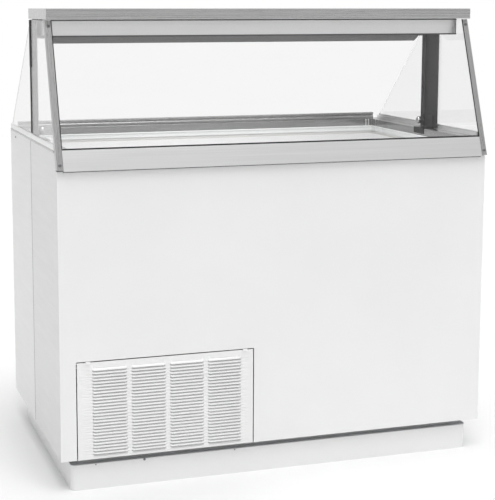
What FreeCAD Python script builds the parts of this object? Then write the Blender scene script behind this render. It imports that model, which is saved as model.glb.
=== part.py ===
"""Ice cream dipping cabinet with a glass display canopy.

Frame: origin on the floor under the middle of the cabinet, +X to the customer's right,
+Y from the customer to the server, +Z up.  Millimetres.
"""
import FreeCAD
import Part
import Sketcher
import math
import os

DOC = FreeCAD.newDocument("dipping_cabinet")

# ---------------------------------------------------------------- driving dimensions
SIZES = {
    # cabinet shell
    "body_width": 1210, "body_front": -348, "body_rear": 360, "body_bottom": 87,
    "front_top": 846, "side_top": 890, "rim_top": 896, "skin": 1, "side_seam": 20, "seam_gap": 1.5,
    "fit_gap": 0.2,
    # base
    "skirt_side": 29, "skirt_front": 17, "skirt_rear": 24, "skirt_top": 68, "skirt_radius": 14,
    "skirt_wall": 2, "skirt_floor": 1.5, "spacer_plate": 1.5, "spacer_inset": 18, "spacer_wall": 4,
    "pan_thick": 1.5, "pan_lip": 20,
    # louvred grille, front lower left
    "grille_left": -560.4, "grille_right": -79, "grille_top": 347, "grille_reveal": 2.6,
    "grille_face": -349.2, "grille_skin": 1.5, "grille_return": 14,
    "slit_left": -520.2, "slit_width": 93, "slit_bottom": 101, "slit_height": 3.2,
    "slit_pitch_across": 104.8, "slit_pitch_up": 8.6, "clip_width": 16, "clip_height": 9,
    # rear vent
    "vent_left": -540, "vent_right": -160, "vent_bottom": 110, "vent_top": 330, "vent_margin": 25,
    "vent_slit_width": 150, "vent_slit_height": 4, "vent_pitch_up": 12,
    # tank opening, collar, breaker strip and liner
    "opening_half": 563, "opening_front": -300, "opening_rear": 318, "collar_bottom": 874,
    "collar_wall": 2, "breaker_outer": 575, "breaker_edge": 12, "breaker_lip": 3, "lip_bottom": 870,
    "breaker_face_bottom": 858, "breaker_bottom": 850, "breaker_recess": 4,
    "liner_wall": 1, "liner_half": 560, "liner_front": -297, "liner_rear": 315,
    "floor_low": 190, "floor_high": 500, "step_side": 10,
    # machine compartment
    "bay_right": -60, "bay_top": 400, "bay_skin": 1.2,
    # rear rail
    "rail_half": 580, "rail_front": 345, "rail_top": 914.5,
    # ledges, tub collars and storage shelf
    "ledge_half": 550, "ledge_top": 743, "ledge_width": 15, "ledge_drop": 17, "ledge_thick": 2,
    "tub_collar_gap": 2, "tub_collar_clear": 3, "tub_collar_thick": 1.5, "tub_collar_edge": 14,
    "tub_cell": 256, "tub_pitch_across": 277, "tub_pitch_deep": 296,
    "shelf_overlap": 15, "shelf_wire": 3, "shelf_clear": 4,
    # drain
    "drain_across": 480, "drain_deep": 200, "drain_radius": 15, "drain_bore": 13, "drain_bottom": 60,
    "plug_clear": 0.06, "plug_flange": 18, "plug_flange_thick": 4, "plug_length": 22,
    # canopy: every front part follows one slope
    "canopy_front": -360, "slope": 0.36, "trim_bottom": 849, "canopy_inner_top": 1222,
    "trim_width": 15, "trim_depth": 23.4, "trim_skin": 1.6, "fascia_top": 899, "fascia_half": 589.5,
    "fascia_return": 13, "glass_gap": 2.1, "glass_thick": 5, "front_glass_thick": 5.3,
    "front_glass_bottom": 868, "front_glass_half": 598, "side_glass_inner": 598.2,
    "side_glass_bottom": 897.6, "side_glass_front": 4.5, "side_glass_top_rear": 5,
    "side_glass_foot_rear": 350, "rim_front": -330, "trim_foot_rear": -314,
    "channel_inner": 596.8, "channel_top": 910, "channel_inner_top": 906, "channel_floor": 1.5,
    "channel_inner_wall": 1.2, "channel_outer_wall": 1.4, "channel_front": -313, "channel_rear": 352,
    # cap, hood and lamp
    "cap_front": -242, "cap_rear": 18, "cap_bottom": 1224, "cap_top": 1252, "deck_inset": 2,
    "hood_front": -197, "hood_rear": -10, "hood_bottom": 1181, "hood_skin": 1.2, "hood_half": 585,
    "hood_return": 8, "reflector_bottom": 1156, "reflector_half": 545, "reflector_corner": 15,
    "lamp_radius": 13, "lamp_half": 447, "lamp_deep": -105, "lamp_up": 1197, "socket_width": 12,
    "socket_depth": 26, "socket_bottom": 1182, "ballast_half": 140, "ballast_front": -62,
    "ballast_depth": 36, "ballast_height": 28,
    # posts and their feet
    "post_inner": 594.5, "post_skin": 2, "post_front": -75, "post_rear": 14, "post_bottom": 898.2,
    "post_flange": 10, "post_flare": 6, "post_flare_height": 22, "foot_front": -50, "foot_rear": 11,
    "foot_skin": 2, "foot_hook": 560.8, "foot_hook_bottom": 880, "foot_top": 935, "foot_outer": 594.4,
    "screw_deep": 2, "screw_up": 918, "screw_shank": 3, "screw_clear": 0.1, "screw_head": 11,
    "screw_head_inner": 567, "screw_head_outer": 581, "screw_tip": 598,
    # controls on the server's side
    "knob_across": -500, "knob_up": 380, "knob_radius": 19, "knob_length": 18, "knob_gap": 0.4,
    "shaft_radius": 3, "shaft_clear": 0.06, "housing_half": 30, "housing_depth": 40,
    "switch_across": 455, "switch_up": 1190, "switch_half_width": 11, "switch_half_height": 7,
    "switch_frame": 4, "switch_frame_depth": 3, "switch_gap": 0.4, "switch_travel_depth": 6,
    "gland_across": -110, "gland_up": 130, "gland_radius": 13, "gland_bore": 5.5, "gland_length": 24,
    # refrigeration parts
    "tray_left": -590, "tray_right": -75, "tray_front": -328, "tray_rear": 345, "tray_lip": 10,
    "can_across": -340, "can_deep": 60, "can_radius": 78, "can_bottom": 115, "can_height": 175,
    "can_round": 32, "foot_plate_thick": 4, "foot_plate_across": 200, "foot_plate_deep": 160,
    "grommet_radius": 11, "grommet_inset": 16,
    "coil_left": -520, "coil_right": -200, "coil_bottom": 105, "coil_top": 365, "coil_front": -322,
    "coil_depth": 46, "bend_radius": 12, "bend_tube": 5, "bend_pitch": 48,
    "shroud_depth": 38, "shroud_skin": 1.2, "fan_across": -360, "fan_up": 235, "fan_hole": 112,
    "fan_radius": 104, "fan_hub": 24, "fan_hub_length": 22, "fan_deep": -238, "blade_thick": 1.5,
    "blade_width": 44, "blade_pitch_angle": 24, "motor_radius": 38, "motor_front": -200,
    "motor_length": 62, "motor_shaft": 4, "pedestal_across": 50, "pedestal_deep": 40,
    "drier_across": -140, "drier_up": 150, "drier_front": -100, "drier_length": 120,
    "drier_radius": 12, "relay_across": -261, "relay_width": 42, "relay_depth": 60,
    "relay_bottom": 150, "relay_height": 70, "pipe_radius": 5, "line_radius": 4,
    # evaporator
    "loop_tube": 5, "loop_offset": 7, "loop_bottom": 540, "loop_pitch": 48,
}
SLIT_COLUMNS = 4
SLIT_ROWS = 27
VENT_COLUMNS = 2
VENT_ROWS = 15
SHELF_CROSS_WIRES = 14
FAN_BLADES = 5
EVAPORATOR_LOOPS = 6
LOOP_TURN = 0.017
CONDENSER_BENDS = 5

SHEET = DOC.addObject("Spreadsheet::Sheet", "Dims")
for row, (alias, number) in enumerate(SIZES.items(), start=1):
    SHEET.set("A%d" % row, alias)
    SHEET.set("B%d" % row, str(number))
    SHEET.setAlias("B%d" % row, alias)
DOC.recompute()


class Size:
    """A number together with the sheet expression that gives it."""

    def __init__(self, value, text):
        self.value = float(value)
        self.text = text

    def _with(self, other, sign, value, swap=False):
        first, second = (as_size(other), self) if swap else (self, as_size(other))
        return Size(value, "(%s %s %s)" % (first.text, sign, second.text))

    def __add__(self, other):
        return self._with(other, "+", self.value + as_size(other).value)

    def __radd__(self, other):
        return self + other

    def __sub__(self, other):
        return self._with(other, "-", self.value - as_size(other).value)

    def __rsub__(self, other):
        return self._with(other, "-", as_size(other).value - self.value, swap=True)

    def __mul__(self, other):
        return self._with(other, "*", self.value * as_size(other).value)

    def __rmul__(self, other):
        return self * other

    def __truediv__(self, other):
        return self._with(other, "/", self.value / as_size(other).value)

    def __neg__(self):
        return Size(-self.value, "(0 - %s)" % self.text)


def as_size(number):
    """Wrap a plain number, and leave a Size as it is."""
    if isinstance(number, Size):
        return number
    return Size(number, "%.6g" % number)


class SizeTable:
    """Sizes of the sheet, read by alias."""

    def __getattr__(self, alias):
        return Size(SIZES[alias], "Dims." + alias)


D = SizeTable()
HALF = D.body_width / 2
NODES = []


# ---------------------------------------------------------------- building helpers
def bind(thing, path, size):
    thing.setExpression(path, as_size(size).text)


def place(thing, x=0, y=0, z=0):
    for axis, size in (("x", x), ("y", y), ("z", z)):
        bind(thing, "Placement.Base." + axis, size)


def node(thing, label):
    """Name a finished sub-part, which is written to its own file."""
    thing.Label = label
    NODES.append(thing)
    return thing


def plain(label):
    return label.replace("_", " ").title().replace(" ", "")


def rectangle(left, bottom, right, top):
    return [(left, bottom), (right, bottom), (right, top), (left, top)]


def new_body(label):
    return DOC.addObject("PartDesign::Body", plain(label))


def sketch_on(body, plane, offset=0, outlines=(), circles=()):
    """A sketch on an origin plane, with every corner and centre bound to the sheet."""
    sketch = body.newObject("Sketcher::SketchObject", "Sketch")
    origin_plane = [f for f in body.Origin.OriginFeatures if f.Role == plane][0]
    sketch.AttachmentSupport = [(origin_plane, "")]
    sketch.MapMode = "FlatFace"
    bind(sketch, "AttachmentOffset.Base.z", offset)
    for outline in outlines:
        add_outline(sketch, [(as_size(u), as_size(v)) for u, v in outline])
    for across, up, radius in circles:
        add_circle(sketch, as_size(across), as_size(up), as_size(radius))
    return sketch


def pin_point(sketch, geometry, point, across, up):
    """Hold a sketch point at bound distances from the sketch's origin."""
    for kind, size in (("DistanceX", across), ("DistanceY", up)):
        number = sketch.addConstraint(Sketcher.Constraint(kind, -1, 1, geometry, point, size.value))
        bind(sketch, "Constraints[%d]" % number, size)


def add_outline(sketch, corners):
    first = sketch.GeometryCount
    ends = corners[1:] + corners[:1]
    for start, end in zip(corners, ends):
        sketch.addGeometry(Part.LineSegment(FreeCAD.Vector(start[0].value, start[1].value, 0),
                                            FreeCAD.Vector(end[0].value, end[1].value, 0)))
    for index, (across, up) in enumerate(corners):
        line = first + index
        previous = first + (index - 1) % len(corners)
        sketch.addConstraint(Sketcher.Constraint("Coincident", previous, 2, line, 1))
        pin_point(sketch, line, 1, across, up)


def add_circle(sketch, across, up, radius):
    centre = FreeCAD.Vector(across.value, up.value, 0)
    circle = sketch.addGeometry(Part.Circle(centre, FreeCAD.Vector(0, 0, 1), radius.value))
    pin_point(sketch, circle, 3, across, up)
    number = sketch.addConstraint(Sketcher.Constraint("Radius", circle, radius.value))
    bind(sketch, "Constraints[%d]" % number, radius)


def pad(body, plane, start, depth, outlines, circles=()):
    """Material from start, along the plane's axis, for depth."""
    along_minus_y = plane == "XZ_Plane"
    offset = -(as_size(start) + depth) if along_minus_y else start
    sketch = sketch_on(body, plane, offset, outlines, circles)
    feature = body.newObject("PartDesign::Pad", "Pad")
    feature.Profile = sketch
    bind(feature, "Length", depth)
    return feature


def pocket(body, plane, start, depth, outlines=(), circles=()):
    """A cut from start, along the plane's axis, for depth; the volume has to fall."""
    DOC.recompute()
    before = body.Shape.Volume
    along_minus_y = plane == "XZ_Plane"
    offset = -(as_size(start) + depth) if along_minus_y else start
    sketch = sketch_on(body, plane, offset, outlines, circles)
    feature = body.newObject("PartDesign::Pocket", "Pocket")
    feature.Profile = sketch
    feature.Reversed = True
    bind(feature, "Length", depth)
    DOC.recompute()
    if body.Shape.Volume >= before:
        raise RuntimeError("a pocket of %s cuts nothing" % body.Name)
    return feature


def fillet(body, feature, edge_names, radius):
    rounding = body.newObject("PartDesign::Fillet", "Fillet")
    rounding.Base = (feature, edge_names)
    bind(rounding, "Radius", radius)
    return rounding


def upright_edges(shape, within=math.inf, beyond=0):
    """Names of a shape's vertical straight edges between two distances from the middle plane."""
    names = []
    for index, edge in enumerate(shape.Edges, start=1):
        ends = [v.Point for v in edge.Vertexes]
        if len(ends) == 2 and beyond < abs(ends[0].x) < within and (ends[0] - ends[1]).normalize().isEqual(
                FreeCAD.Vector(0, 0, math.copysign(1, ends[0].z - ends[1].z)), 1e-6):
            names.append("Edge%d" % index)
    return names


def bar(label, plane, start, depth, outlines, circles=()):
    """A sub-part that is one profile with a constant thickness."""
    body = new_body(label)
    pad(body, plane, start, depth, outlines, circles)
    return body


def block(left, right, front, rear, bottom, top):
    """A box between six bound faces."""
    box = DOC.addObject("Part::Box", "Block")
    place(box, left, front, bottom)
    bind(box, "Length", as_size(right) - left)
    bind(box, "Width", as_size(rear) - front)
    bind(box, "Height", as_size(top) - bottom)
    return box


TURNS = {"X": FreeCAD.Rotation(FreeCAD.Vector(0, 1, 0), 90),
         "Y": FreeCAD.Rotation(FreeCAD.Vector(1, 0, 0), -90),
         "Z": FreeCAD.Rotation()}


def rod(axis, x, y, z, radius, length):
    """A cylinder from (x, y, z) along +axis."""
    cylinder = DOC.addObject("Part::Cylinder", "Rod")
    cylinder.Placement = FreeCAD.Placement(FreeCAD.Vector(), TURNS[axis])
    place(cylinder, x, y, z)
    bind(cylinder, "Radius", radius)
    bind(cylinder, "Height", length)
    return cylinder


def fused(parts):
    joined = DOC.addObject("Part::MultiFuse", "Joined")
    joined.Shapes = parts
    joined.Refine = True
    return joined


def cut(base, tools):
    result = DOC.addObject("Part::Cut", "Cut")
    result.Base = base
    result.Tool = tools[0] if len(tools) == 1 else fused(tools)
    result.Refine = True
    return result


def group(label, members):
    """Separate solids that share one node."""
    gathered = DOC.addObject("Part::Compound", plain(label))
    gathered.Links = members
    return node(gathered, label)


def sided(sign, near, far):
    """The lower and upper X of a part that spans near to far from the middle."""
    return (near, far) if sign > 0 else (-far, -near)


def slope_at(height):
    """Front plane of the canopy: its Y at a height."""
    return D.canopy_front + D.slope * (height - D.front_top)


def tube_along(points, radius, turn=0.45):
    """A round tube on straight runs joined by tangent arcs."""
    runs = [(b - a).Length for a, b in zip(points, points[1:])]
    edges = []
    start = points[0]
    for index in range(1, len(points) - 1):
        corner = points[index]
        back = (points[index - 1] - corner).normalize()
        ahead = (points[index + 1] - corner).normalize()
        reach = turn * min(runs[index - 1], runs[index])
        enter = corner + back * reach
        leave = corner + ahead * reach
        half_angle = back.getAngle(ahead) / 2
        bend = reach * math.tan(half_angle)
        centre = corner + (back + ahead).normalize() * (reach / math.cos(half_angle))
        middle = centre + (corner - centre).normalize() * bend
        edges.append(Part.LineSegment(start, enter).toShape())
        edges.append(Part.Arc(enter, middle, leave).toShape())
        start = leave
    edges.append(Part.LineSegment(start, points[-1]).toShape())
    path = Part.Wire(edges)
    section = Part.Wire(Part.Circle(points[0], points[1] - points[0], radius).toShape())
    return path.makePipeShell([section], True, True)


def shaped(shape):
    """A feature that holds a swept shape, placed as it is."""
    feature = DOC.addObject("Part::Feature", "Shaped")
    feature.Shape = shape
    return feature


def spot(x, y, z):
    return FreeCAD.Vector(as_size(x).value, as_size(y).value, as_size(z).value)


# ---------------------------------------------------------------- base and shell
def make_base():
    left, right = D.skirt_side - HALF, HALF - D.skirt_side
    front, rear = D.body_front + D.skirt_front, D.body_rear - D.skirt_rear
    plinth = new_body("base_plinth")
    pad(plinth, "XY_Plane", 0, D.skirt_top, [rectangle(left, front, right, rear)])
    wall = D.skirt_wall
    tray = pocket(plinth, "XY_Plane", D.skirt_floor, D.skirt_top - D.skirt_floor,
                  [rectangle(left + wall, front + wall, right - wall, rear - wall)])
    # the inside corners are rounded first, so that the wall keeps its thickness round them
    middle_of_wall = (right - 0.5 * wall).value
    inside = fillet(plinth, tray, upright_edges(tray.Shape, within=middle_of_wall), D.skirt_radius - wall)
    DOC.recompute()
    fillet(plinth, inside, upright_edges(inside.Shape, beyond=middle_of_wall), D.skirt_radius)
    node(plinth, "base_plinth")

    spacer = new_body("base_spacer")
    cover = pad(spacer, "XY_Plane", D.skirt_top, D.spacer_plate, [rectangle(left, front, right, rear)])
    DOC.recompute()
    fillet(spacer, cover, upright_edges(cover.Shape), D.skirt_radius)
    outer = [left + D.spacer_inset, front + D.spacer_inset, right - D.spacer_inset, rear - D.spacer_inset]
    inner = [outer[0] + D.spacer_wall, outer[1] + D.spacer_wall,
             outer[2] - D.spacer_wall, outer[3] - D.spacer_wall]
    top_of_plate = D.skirt_top + D.spacer_plate
    pad(spacer, "XY_Plane", top_of_plate, D.body_bottom - top_of_plate,
        [rectangle(*outer), rectangle(*inner)])
    pocket(spacer, "XY_Plane", D.skirt_top, D.spacer_plate,
           circles=[(D.drain_across, D.drain_deep, D.drain_radius)])
    node(spacer, "base_spacer")


def make_bottom_pan():
    edge = D.skin + D.fit_gap
    left, right = edge - HALF, HALF - edge
    front, rear = D.body_front + edge, D.body_rear - edge
    pan = bar("bottom_pan", "XY_Plane", D.body_bottom, D.pan_thick, [rectangle(left, front, right, rear)])
    thick = D.pan_thick
    # the lip stops at the grille opening, so the grille's return clears it
    pad(pan, "XY_Plane", D.body_bottom, D.pan_lip,
        [[(left, rear), (left, front + 2 * D.grille_return), (left + thick, front + 2 * D.grille_return),
          (left + thick, rear - thick), (right - thick, rear - thick), (right - thick, front + thick),
          (D.bay_right + thick, front + thick), (D.bay_right + thick, front),
          (right, front), (right, rear)]])
    pocket(pan, "XY_Plane", D.body_bottom, D.pan_thick,
           circles=[(D.drain_across, D.drain_deep, D.drain_radius)])
    node(pan, "bottom_pan")


def make_front_panel():
    gap_left, gap_right = D.grille_left - D.grille_reveal, D.grille_right + D.grille_reveal
    gap_top = D.grille_top + D.grille_reveal
    outline = [(-HALF, D.body_bottom), (gap_left, D.body_bottom), (gap_left, gap_top),
               (gap_right, gap_top), (gap_right, D.body_bottom), (HALF, D.body_bottom),
               (HALF, D.front_top), (-HALF, D.front_top)]
    node(bar("front_panel", "XZ_Plane", D.body_front, D.skin, [outline]), "front_panel")


def make_side_panels():
    front = D.body_front + D.skin
    notch_low = slope_at(D.front_top) + D.trim_depth + 1
    notch_high = slope_at(D.side_top) + D.trim_depth + 1
    front_outline = [(front, D.body_bottom), (D.side_seam, D.body_bottom), (D.side_seam, D.side_top),
                     (notch_high, D.side_top), (notch_low, D.front_top), (front, D.front_top)]
    rear_outline = rectangle(D.side_seam + D.seam_gap, D.body_bottom, D.body_rear, D.side_top)
    for side, sign in (("left", -1), ("right", 1)):
        start = sided(sign, HALF - D.skin, HALF)[0]
        for place_name, outline in (("front", front_outline), ("rear", rear_outline)):
            label = "side_panel_%s_%s" % (side, place_name)
            node(bar(label, "YZ_Plane", start, D.skin, [outline]), label)


def make_rear_panel():
    panel = block(D.skin + D.fit_gap - HALF, HALF - D.skin - D.fit_gap, D.body_rear - D.skin, D.body_rear,
                  D.body_bottom, D.side_top)
    inside = D.vent_margin - D.clip_height
    openings = [block(D.vent_left + inside, D.vent_right - inside, D.body_rear - 2 * D.skin,
                      D.body_rear + D.skin, D.vent_bottom + inside, D.vent_top - inside),
                rod("Y", D.knob_across, D.body_rear - 2 * D.skin, D.knob_up,
                    D.shaft_radius + D.shaft_clear, 4 * D.skin),
                rod("Y", D.gland_across, D.body_rear - 2 * D.skin, D.gland_up, D.gland_radius - 3,
                    4 * D.skin)]
    node(cut(panel, openings), "rear_panel")


def louvred(label, plane_start, skin, outer, first_slit, slit_size, pitches, counts):
    """A sheet with a rectangular pattern of slits."""
    sheet = bar(label, "XZ_Plane", plane_start, skin, [rectangle(*outer)])
    left, bottom = first_slit
    slit = pocket(sheet, "XZ_Plane", plane_start - skin, 3 * skin,
                  [rectangle(left, bottom, left + slit_size[0], bottom + slit_size[1])])
    pattern = sheet.newObject("PartDesign::LinearPattern", "Slits")
    pattern.Originals = [slit]
    pattern.Direction = (slit.Profile[0], ["H_Axis"])
    pattern.Direction2 = (slit.Profile[0], ["V_Axis"])
    pattern.Occurrences = counts[0]
    pattern.Occurrences2 = counts[1]
    bind(pattern, "Length", pitches[0] * (counts[0] - 1))
    bind(pattern, "Length2", pitches[1] * (counts[1] - 1))
    sheet.Tip = pattern
    DOC.recompute()
    return sheet


def make_grille():
    outer = [D.grille_left, D.body_bottom, D.grille_right, D.grille_top]
    grille = louvred("grille_panel", D.grille_face, D.grille_skin, outer, (D.slit_left, D.slit_bottom),
                     (D.slit_width, D.slit_height), (D.slit_pitch_across, D.slit_pitch_up),
                     (SLIT_COLUMNS, SLIT_ROWS))
    wall = D.grille_skin
    low = D.body_bottom + D.pan_thick + wall
    pad(grille, "XZ_Plane", D.grille_face, D.grille_return,
        [rectangle(D.grille_left, low, D.grille_right, D.grille_top),
         rectangle(D.grille_left + wall, low + wall, D.grille_right - wall, D.grille_top - wall)])
    node(grille, "grille_panel")
    top = D.grille_top + D.grille_reveal
    rear = D.body_front + D.skin
    clips = []
    for left in (D.grille_left + D.clip_width, D.grille_right - 2 * D.clip_width):
        clips.append(block(left, left + D.clip_width, rear, rear + D.skin, top - D.skin, top + D.clip_height))
    group("grille_clips", clips)


def make_rear_vent():
    outer = [D.vent_left, D.vent_bottom, D.vent_right, D.vent_top]
    first = (D.vent_left + D.vent_margin, D.vent_bottom + D.vent_margin)
    across = D.vent_right - D.vent_left - 2 * D.vent_margin - D.vent_slit_width
    vent = louvred("rear_vent", D.body_rear, D.skin, outer, first, (D.vent_slit_width, D.vent_slit_height),
                   (across, D.vent_pitch_up), (VENT_COLUMNS, VENT_ROWS))
    node(vent, "rear_vent")


def make_tank():
    outer_half = D.liner_half + D.liner_wall
    front, rear = D.liner_front - D.liner_wall, D.liner_rear + D.liner_wall
    under = D.liner_wall
    shell = fused([block(-outer_half, outer_half, front, rear, D.floor_high - under, D.breaker_bottom),
                   block(D.step_side - under, outer_half, front, rear, D.floor_low - under,
                         D.floor_high)])
    hollow = fused([block(-D.liner_half, D.liner_half, D.liner_front, D.liner_rear, D.floor_high,
                          D.rim_top),
                    block(D.step_side, D.liner_half, D.liner_front, D.liner_rear, D.floor_low,
                          D.rim_top)])
    drain = rod("Z", D.drain_across, D.drain_deep, D.floor_low - 2 * under, D.drain_radius, 3 * under)
    node(cut(shell, [hollow, drain]), "tank_liner")


def make_breaker_strip():
    """The white plastic strip between the steel collar and the liner."""
    edge = D.breaker_edge
    outer = [-D.breaker_outer, D.opening_front - edge, D.breaker_outer, D.opening_rear + edge]

    def ring(inward):
        return [rectangle(*outer),
                rectangle(inward - D.opening_half, D.opening_front + inward,
                          D.opening_half - inward, D.opening_rear - inward)]

    strip = bar("breaker_strip", "XY_Plane", D.breaker_bottom, D.breaker_face_bottom - D.breaker_bottom,
                ring(-D.breaker_recess))
    pad(strip, "XY_Plane", D.breaker_face_bottom, D.lip_bottom - D.breaker_face_bottom, ring(1))
    pad(strip, "XY_Plane", D.lip_bottom, D.collar_bottom - D.lip_bottom, ring(D.breaker_lip))
    node(strip, "breaker_strip")


def make_top_rim():
    narrow = HALF - D.trim_skin - D.fit_gap
    opening = rectangle(-D.opening_half, D.opening_front, D.opening_half, D.opening_rear)
    outline = [(-narrow, D.rim_front), (narrow, D.rim_front), (narrow, D.trim_foot_rear),
               (HALF, D.trim_foot_rear), (HALF, D.body_rear), (-HALF, D.body_rear),
               (-HALF, D.trim_foot_rear), (-narrow, D.trim_foot_rear)]
    rim = bar("top_rim", "XY_Plane", D.side_top, D.rim_top - D.side_top, [outline, opening])
    wall = D.collar_wall
    pad(rim, "XY_Plane", D.collar_bottom, D.side_top - D.collar_bottom,
        [rectangle(-D.opening_half - wall, D.opening_front - wall, D.opening_half + wall,
                   D.opening_rear + wall), opening])
    node(rim, "top_rim")


def make_rear_rail():
    front, top = D.rail_front, D.rail_top
    height = D.rail_top - D.rim_top
    groove = height / 6
    outline = [(front, D.rim_top), (D.body_rear, D.rim_top), (D.body_rear, top), (front + 1, top),
               (front, top - 1), (front, top - 2 * groove), (front + groove, top - 3 * groove),
               (front, top - 4 * groove)]
    node(bar("rear_rail", "YZ_Plane", -D.rail_half, 2 * D.rail_half, [outline]), "rear_rail")


def make_foam():
    """Foamed-in insulation: it fills the shell around the tank and the machine compartment."""
    edge = D.skin + D.fit_gap
    bottom = D.body_bottom + D.pan_thick
    lip = D.pan_thick
    filled = block(edge + lip - HALF, HALF - edge - lip, D.body_front + edge + lip,
                   D.body_rear - edge - lip, bottom, D.side_top)
    outer_half = D.liner_half + D.liner_wall
    front, rear = D.liner_front - D.liner_wall, D.liner_rear + D.liner_wall
    removed = [
        block(-HALF, D.bay_right, D.body_front, D.body_rear, 0, D.bay_top + D.bay_skin),
        block(-outer_half, outer_half, front, rear, D.floor_high - D.liner_wall, D.breaker_bottom),
        block(D.step_side - D.liner_wall, outer_half, front, rear, D.floor_low - D.liner_wall,
              D.floor_high),
        block(-D.breaker_outer, D.breaker_outer, D.opening_front - D.breaker_edge,
              D.opening_rear + D.breaker_edge, D.breaker_bottom, D.rim_top),
        block(-HALF, HALF, D.body_front, D.rim_front, D.front_top - D.skin, D.rim_top),
        rod("Z", D.drain_across, D.drain_deep, bottom - 1, D.drain_radius, D.floor_low),
    ]
    node(cut(filled, removed), "foam_insulation")


def make_compartment():
    bottom = D.body_bottom + D.pan_thick
    left = D.skin + D.fit_gap + D.pan_thick - HALF
    front, rear = D.body_front + 2 * D.skin, D.body_rear - 2 * D.skin - D.pan_thick
    top = D.bay_top + D.bay_skin
    outline = [(left, D.bay_top), (D.bay_right - D.bay_skin, D.bay_top), (D.bay_right - D.bay_skin, bottom),
               (D.bay_right, bottom), (D.bay_right, top), (left, top)]
    node(bar("compartment_shell", "XZ_Plane", front, rear - front, [outline]), "compartment_shell")


# ---------------------------------------------------------------- tank fittings
def make_ledges():
    thick, wide = D.ledge_thick, D.ledge_width

    def angle(wall, inward):
        face = wall + thick * inward
        return bar("ledge", "YZ_Plane", -D.ledge_half, 2 * D.ledge_half,
                   [[(wall, D.ledge_top - D.ledge_drop), (face, D.ledge_top - D.ledge_drop),
                     (face, D.ledge_top - thick), (wall + wide * inward, D.ledge_top - thick),
                     (wall + wide * inward, D.ledge_top), (wall, D.ledge_top)]])

    shelf_rest = block(D.liner_half - wide, D.liner_half, D.liner_front + wide, D.liner_rear - wide,
                       D.floor_high - thick, D.floor_high)
    group("tank_ledges", [angle(D.liner_front, 1), angle(D.liner_rear, -1), shelf_rest])


def make_tub_collars():
    """Lift-out plates that hold the tubs upright, four square cells each."""
    clear = D.tub_collar_clear
    front, rear = D.liner_front + 0.5 * clear, D.liner_rear - 0.5 * clear
    middle_deep = (front + rear) / 2
    for side, sign in (("left", -1), ("right", 1)):
        left, right = sided(sign, D.tub_collar_gap, D.liner_half - clear)
        label = "tub_collar_" + side
        wall = D.tub_collar_thick
        middle = (left + right) / 2
        half = 0.5 * D.tub_cell
        outlines = [rectangle(left, front, right, rear)]
        for across in (-0.5, 0.5):
            for deep in (-0.5, 0.5):
                x = middle + across * D.tub_pitch_across
                y = middle_deep + deep * D.tub_pitch_deep
                outlines.append(rectangle(x - half, y - half, x + half, y + half))
        plate = bar(label, "XY_Plane", D.ledge_top, wall, outlines)
        pad(plate, "XY_Plane", D.ledge_top, D.tub_collar_edge,
            [rectangle(left, front, right, rear),
             rectangle(left + wall, front + wall, right - wall, rear - wall)])
        node(plate, label)


def make_storage_shelf():
    wire = D.shelf_wire
    left, right = D.step_side - D.shelf_overlap, D.liner_half - D.shelf_clear
    front, rear = D.liner_front + 2 * D.shelf_clear, D.liner_rear - 2 * D.shelf_clear
    up = D.floor_high + wire
    wires = [rod("X", left, deep, up, wire, right - left) for deep in (front + wire, rear - wire)]
    pitch = (right - left - 4 * wire) / (SHELF_CROSS_WIRES - 1)
    for index in range(SHELF_CROSS_WIRES):
        wires.append(rod("Y", left + 2 * wire + pitch * index, front + wire, up, 0.7 * wire,
                         rear - front - 2 * wire))
    node(fused(wires), "storage_shelf")


def make_drain():
    tube = cut(rod("Z", D.drain_across, D.drain_deep, D.drain_bottom, D.drain_radius,
                   D.floor_low - D.drain_bottom),
               [rod("Z", D.drain_across, D.drain_deep, D.drain_bottom - 1, D.drain_bore, D.floor_low)])
    node(tube, "drain_tube")
    plug = fused([rod("Z", D.drain_across, D.drain_deep, D.floor_low - D.plug_length,
                      D.drain_bore - D.plug_clear, D.plug_length),
                  rod("Z", D.drain_across, D.drain_deep, D.floor_low, D.plug_flange,
                      D.plug_flange_thick),
                  rod("Z", D.drain_across, D.drain_deep, D.floor_low, D.plug_flange / 3,
                      3 * D.plug_flange_thick)])
    node(plug, "drain_plug")


def make_evaporator():
    """Tube loops wrapped around the liner, inside the insulation."""
    offset = D.liner_wall + D.loop_offset
    left, right = -(D.liner_half + offset), D.liner_half + offset
    front, rear = D.liner_front - offset, D.liner_rear + offset
    loops = []
    for index in range(EVAPORATOR_LOOPS):
        up = D.loop_bottom + D.loop_pitch * index
        points = [spot(0, front, up), spot(right, front, up), spot(right, rear, up),
                  spot(left, rear, up), spot(left, front, up), spot(-0.5, front, up)]
        loops.append(shaped(tube_along(points, SIZES["loop_tube"], turn=LOOP_TURN)))
    group("evaporator_coil", loops)


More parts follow.
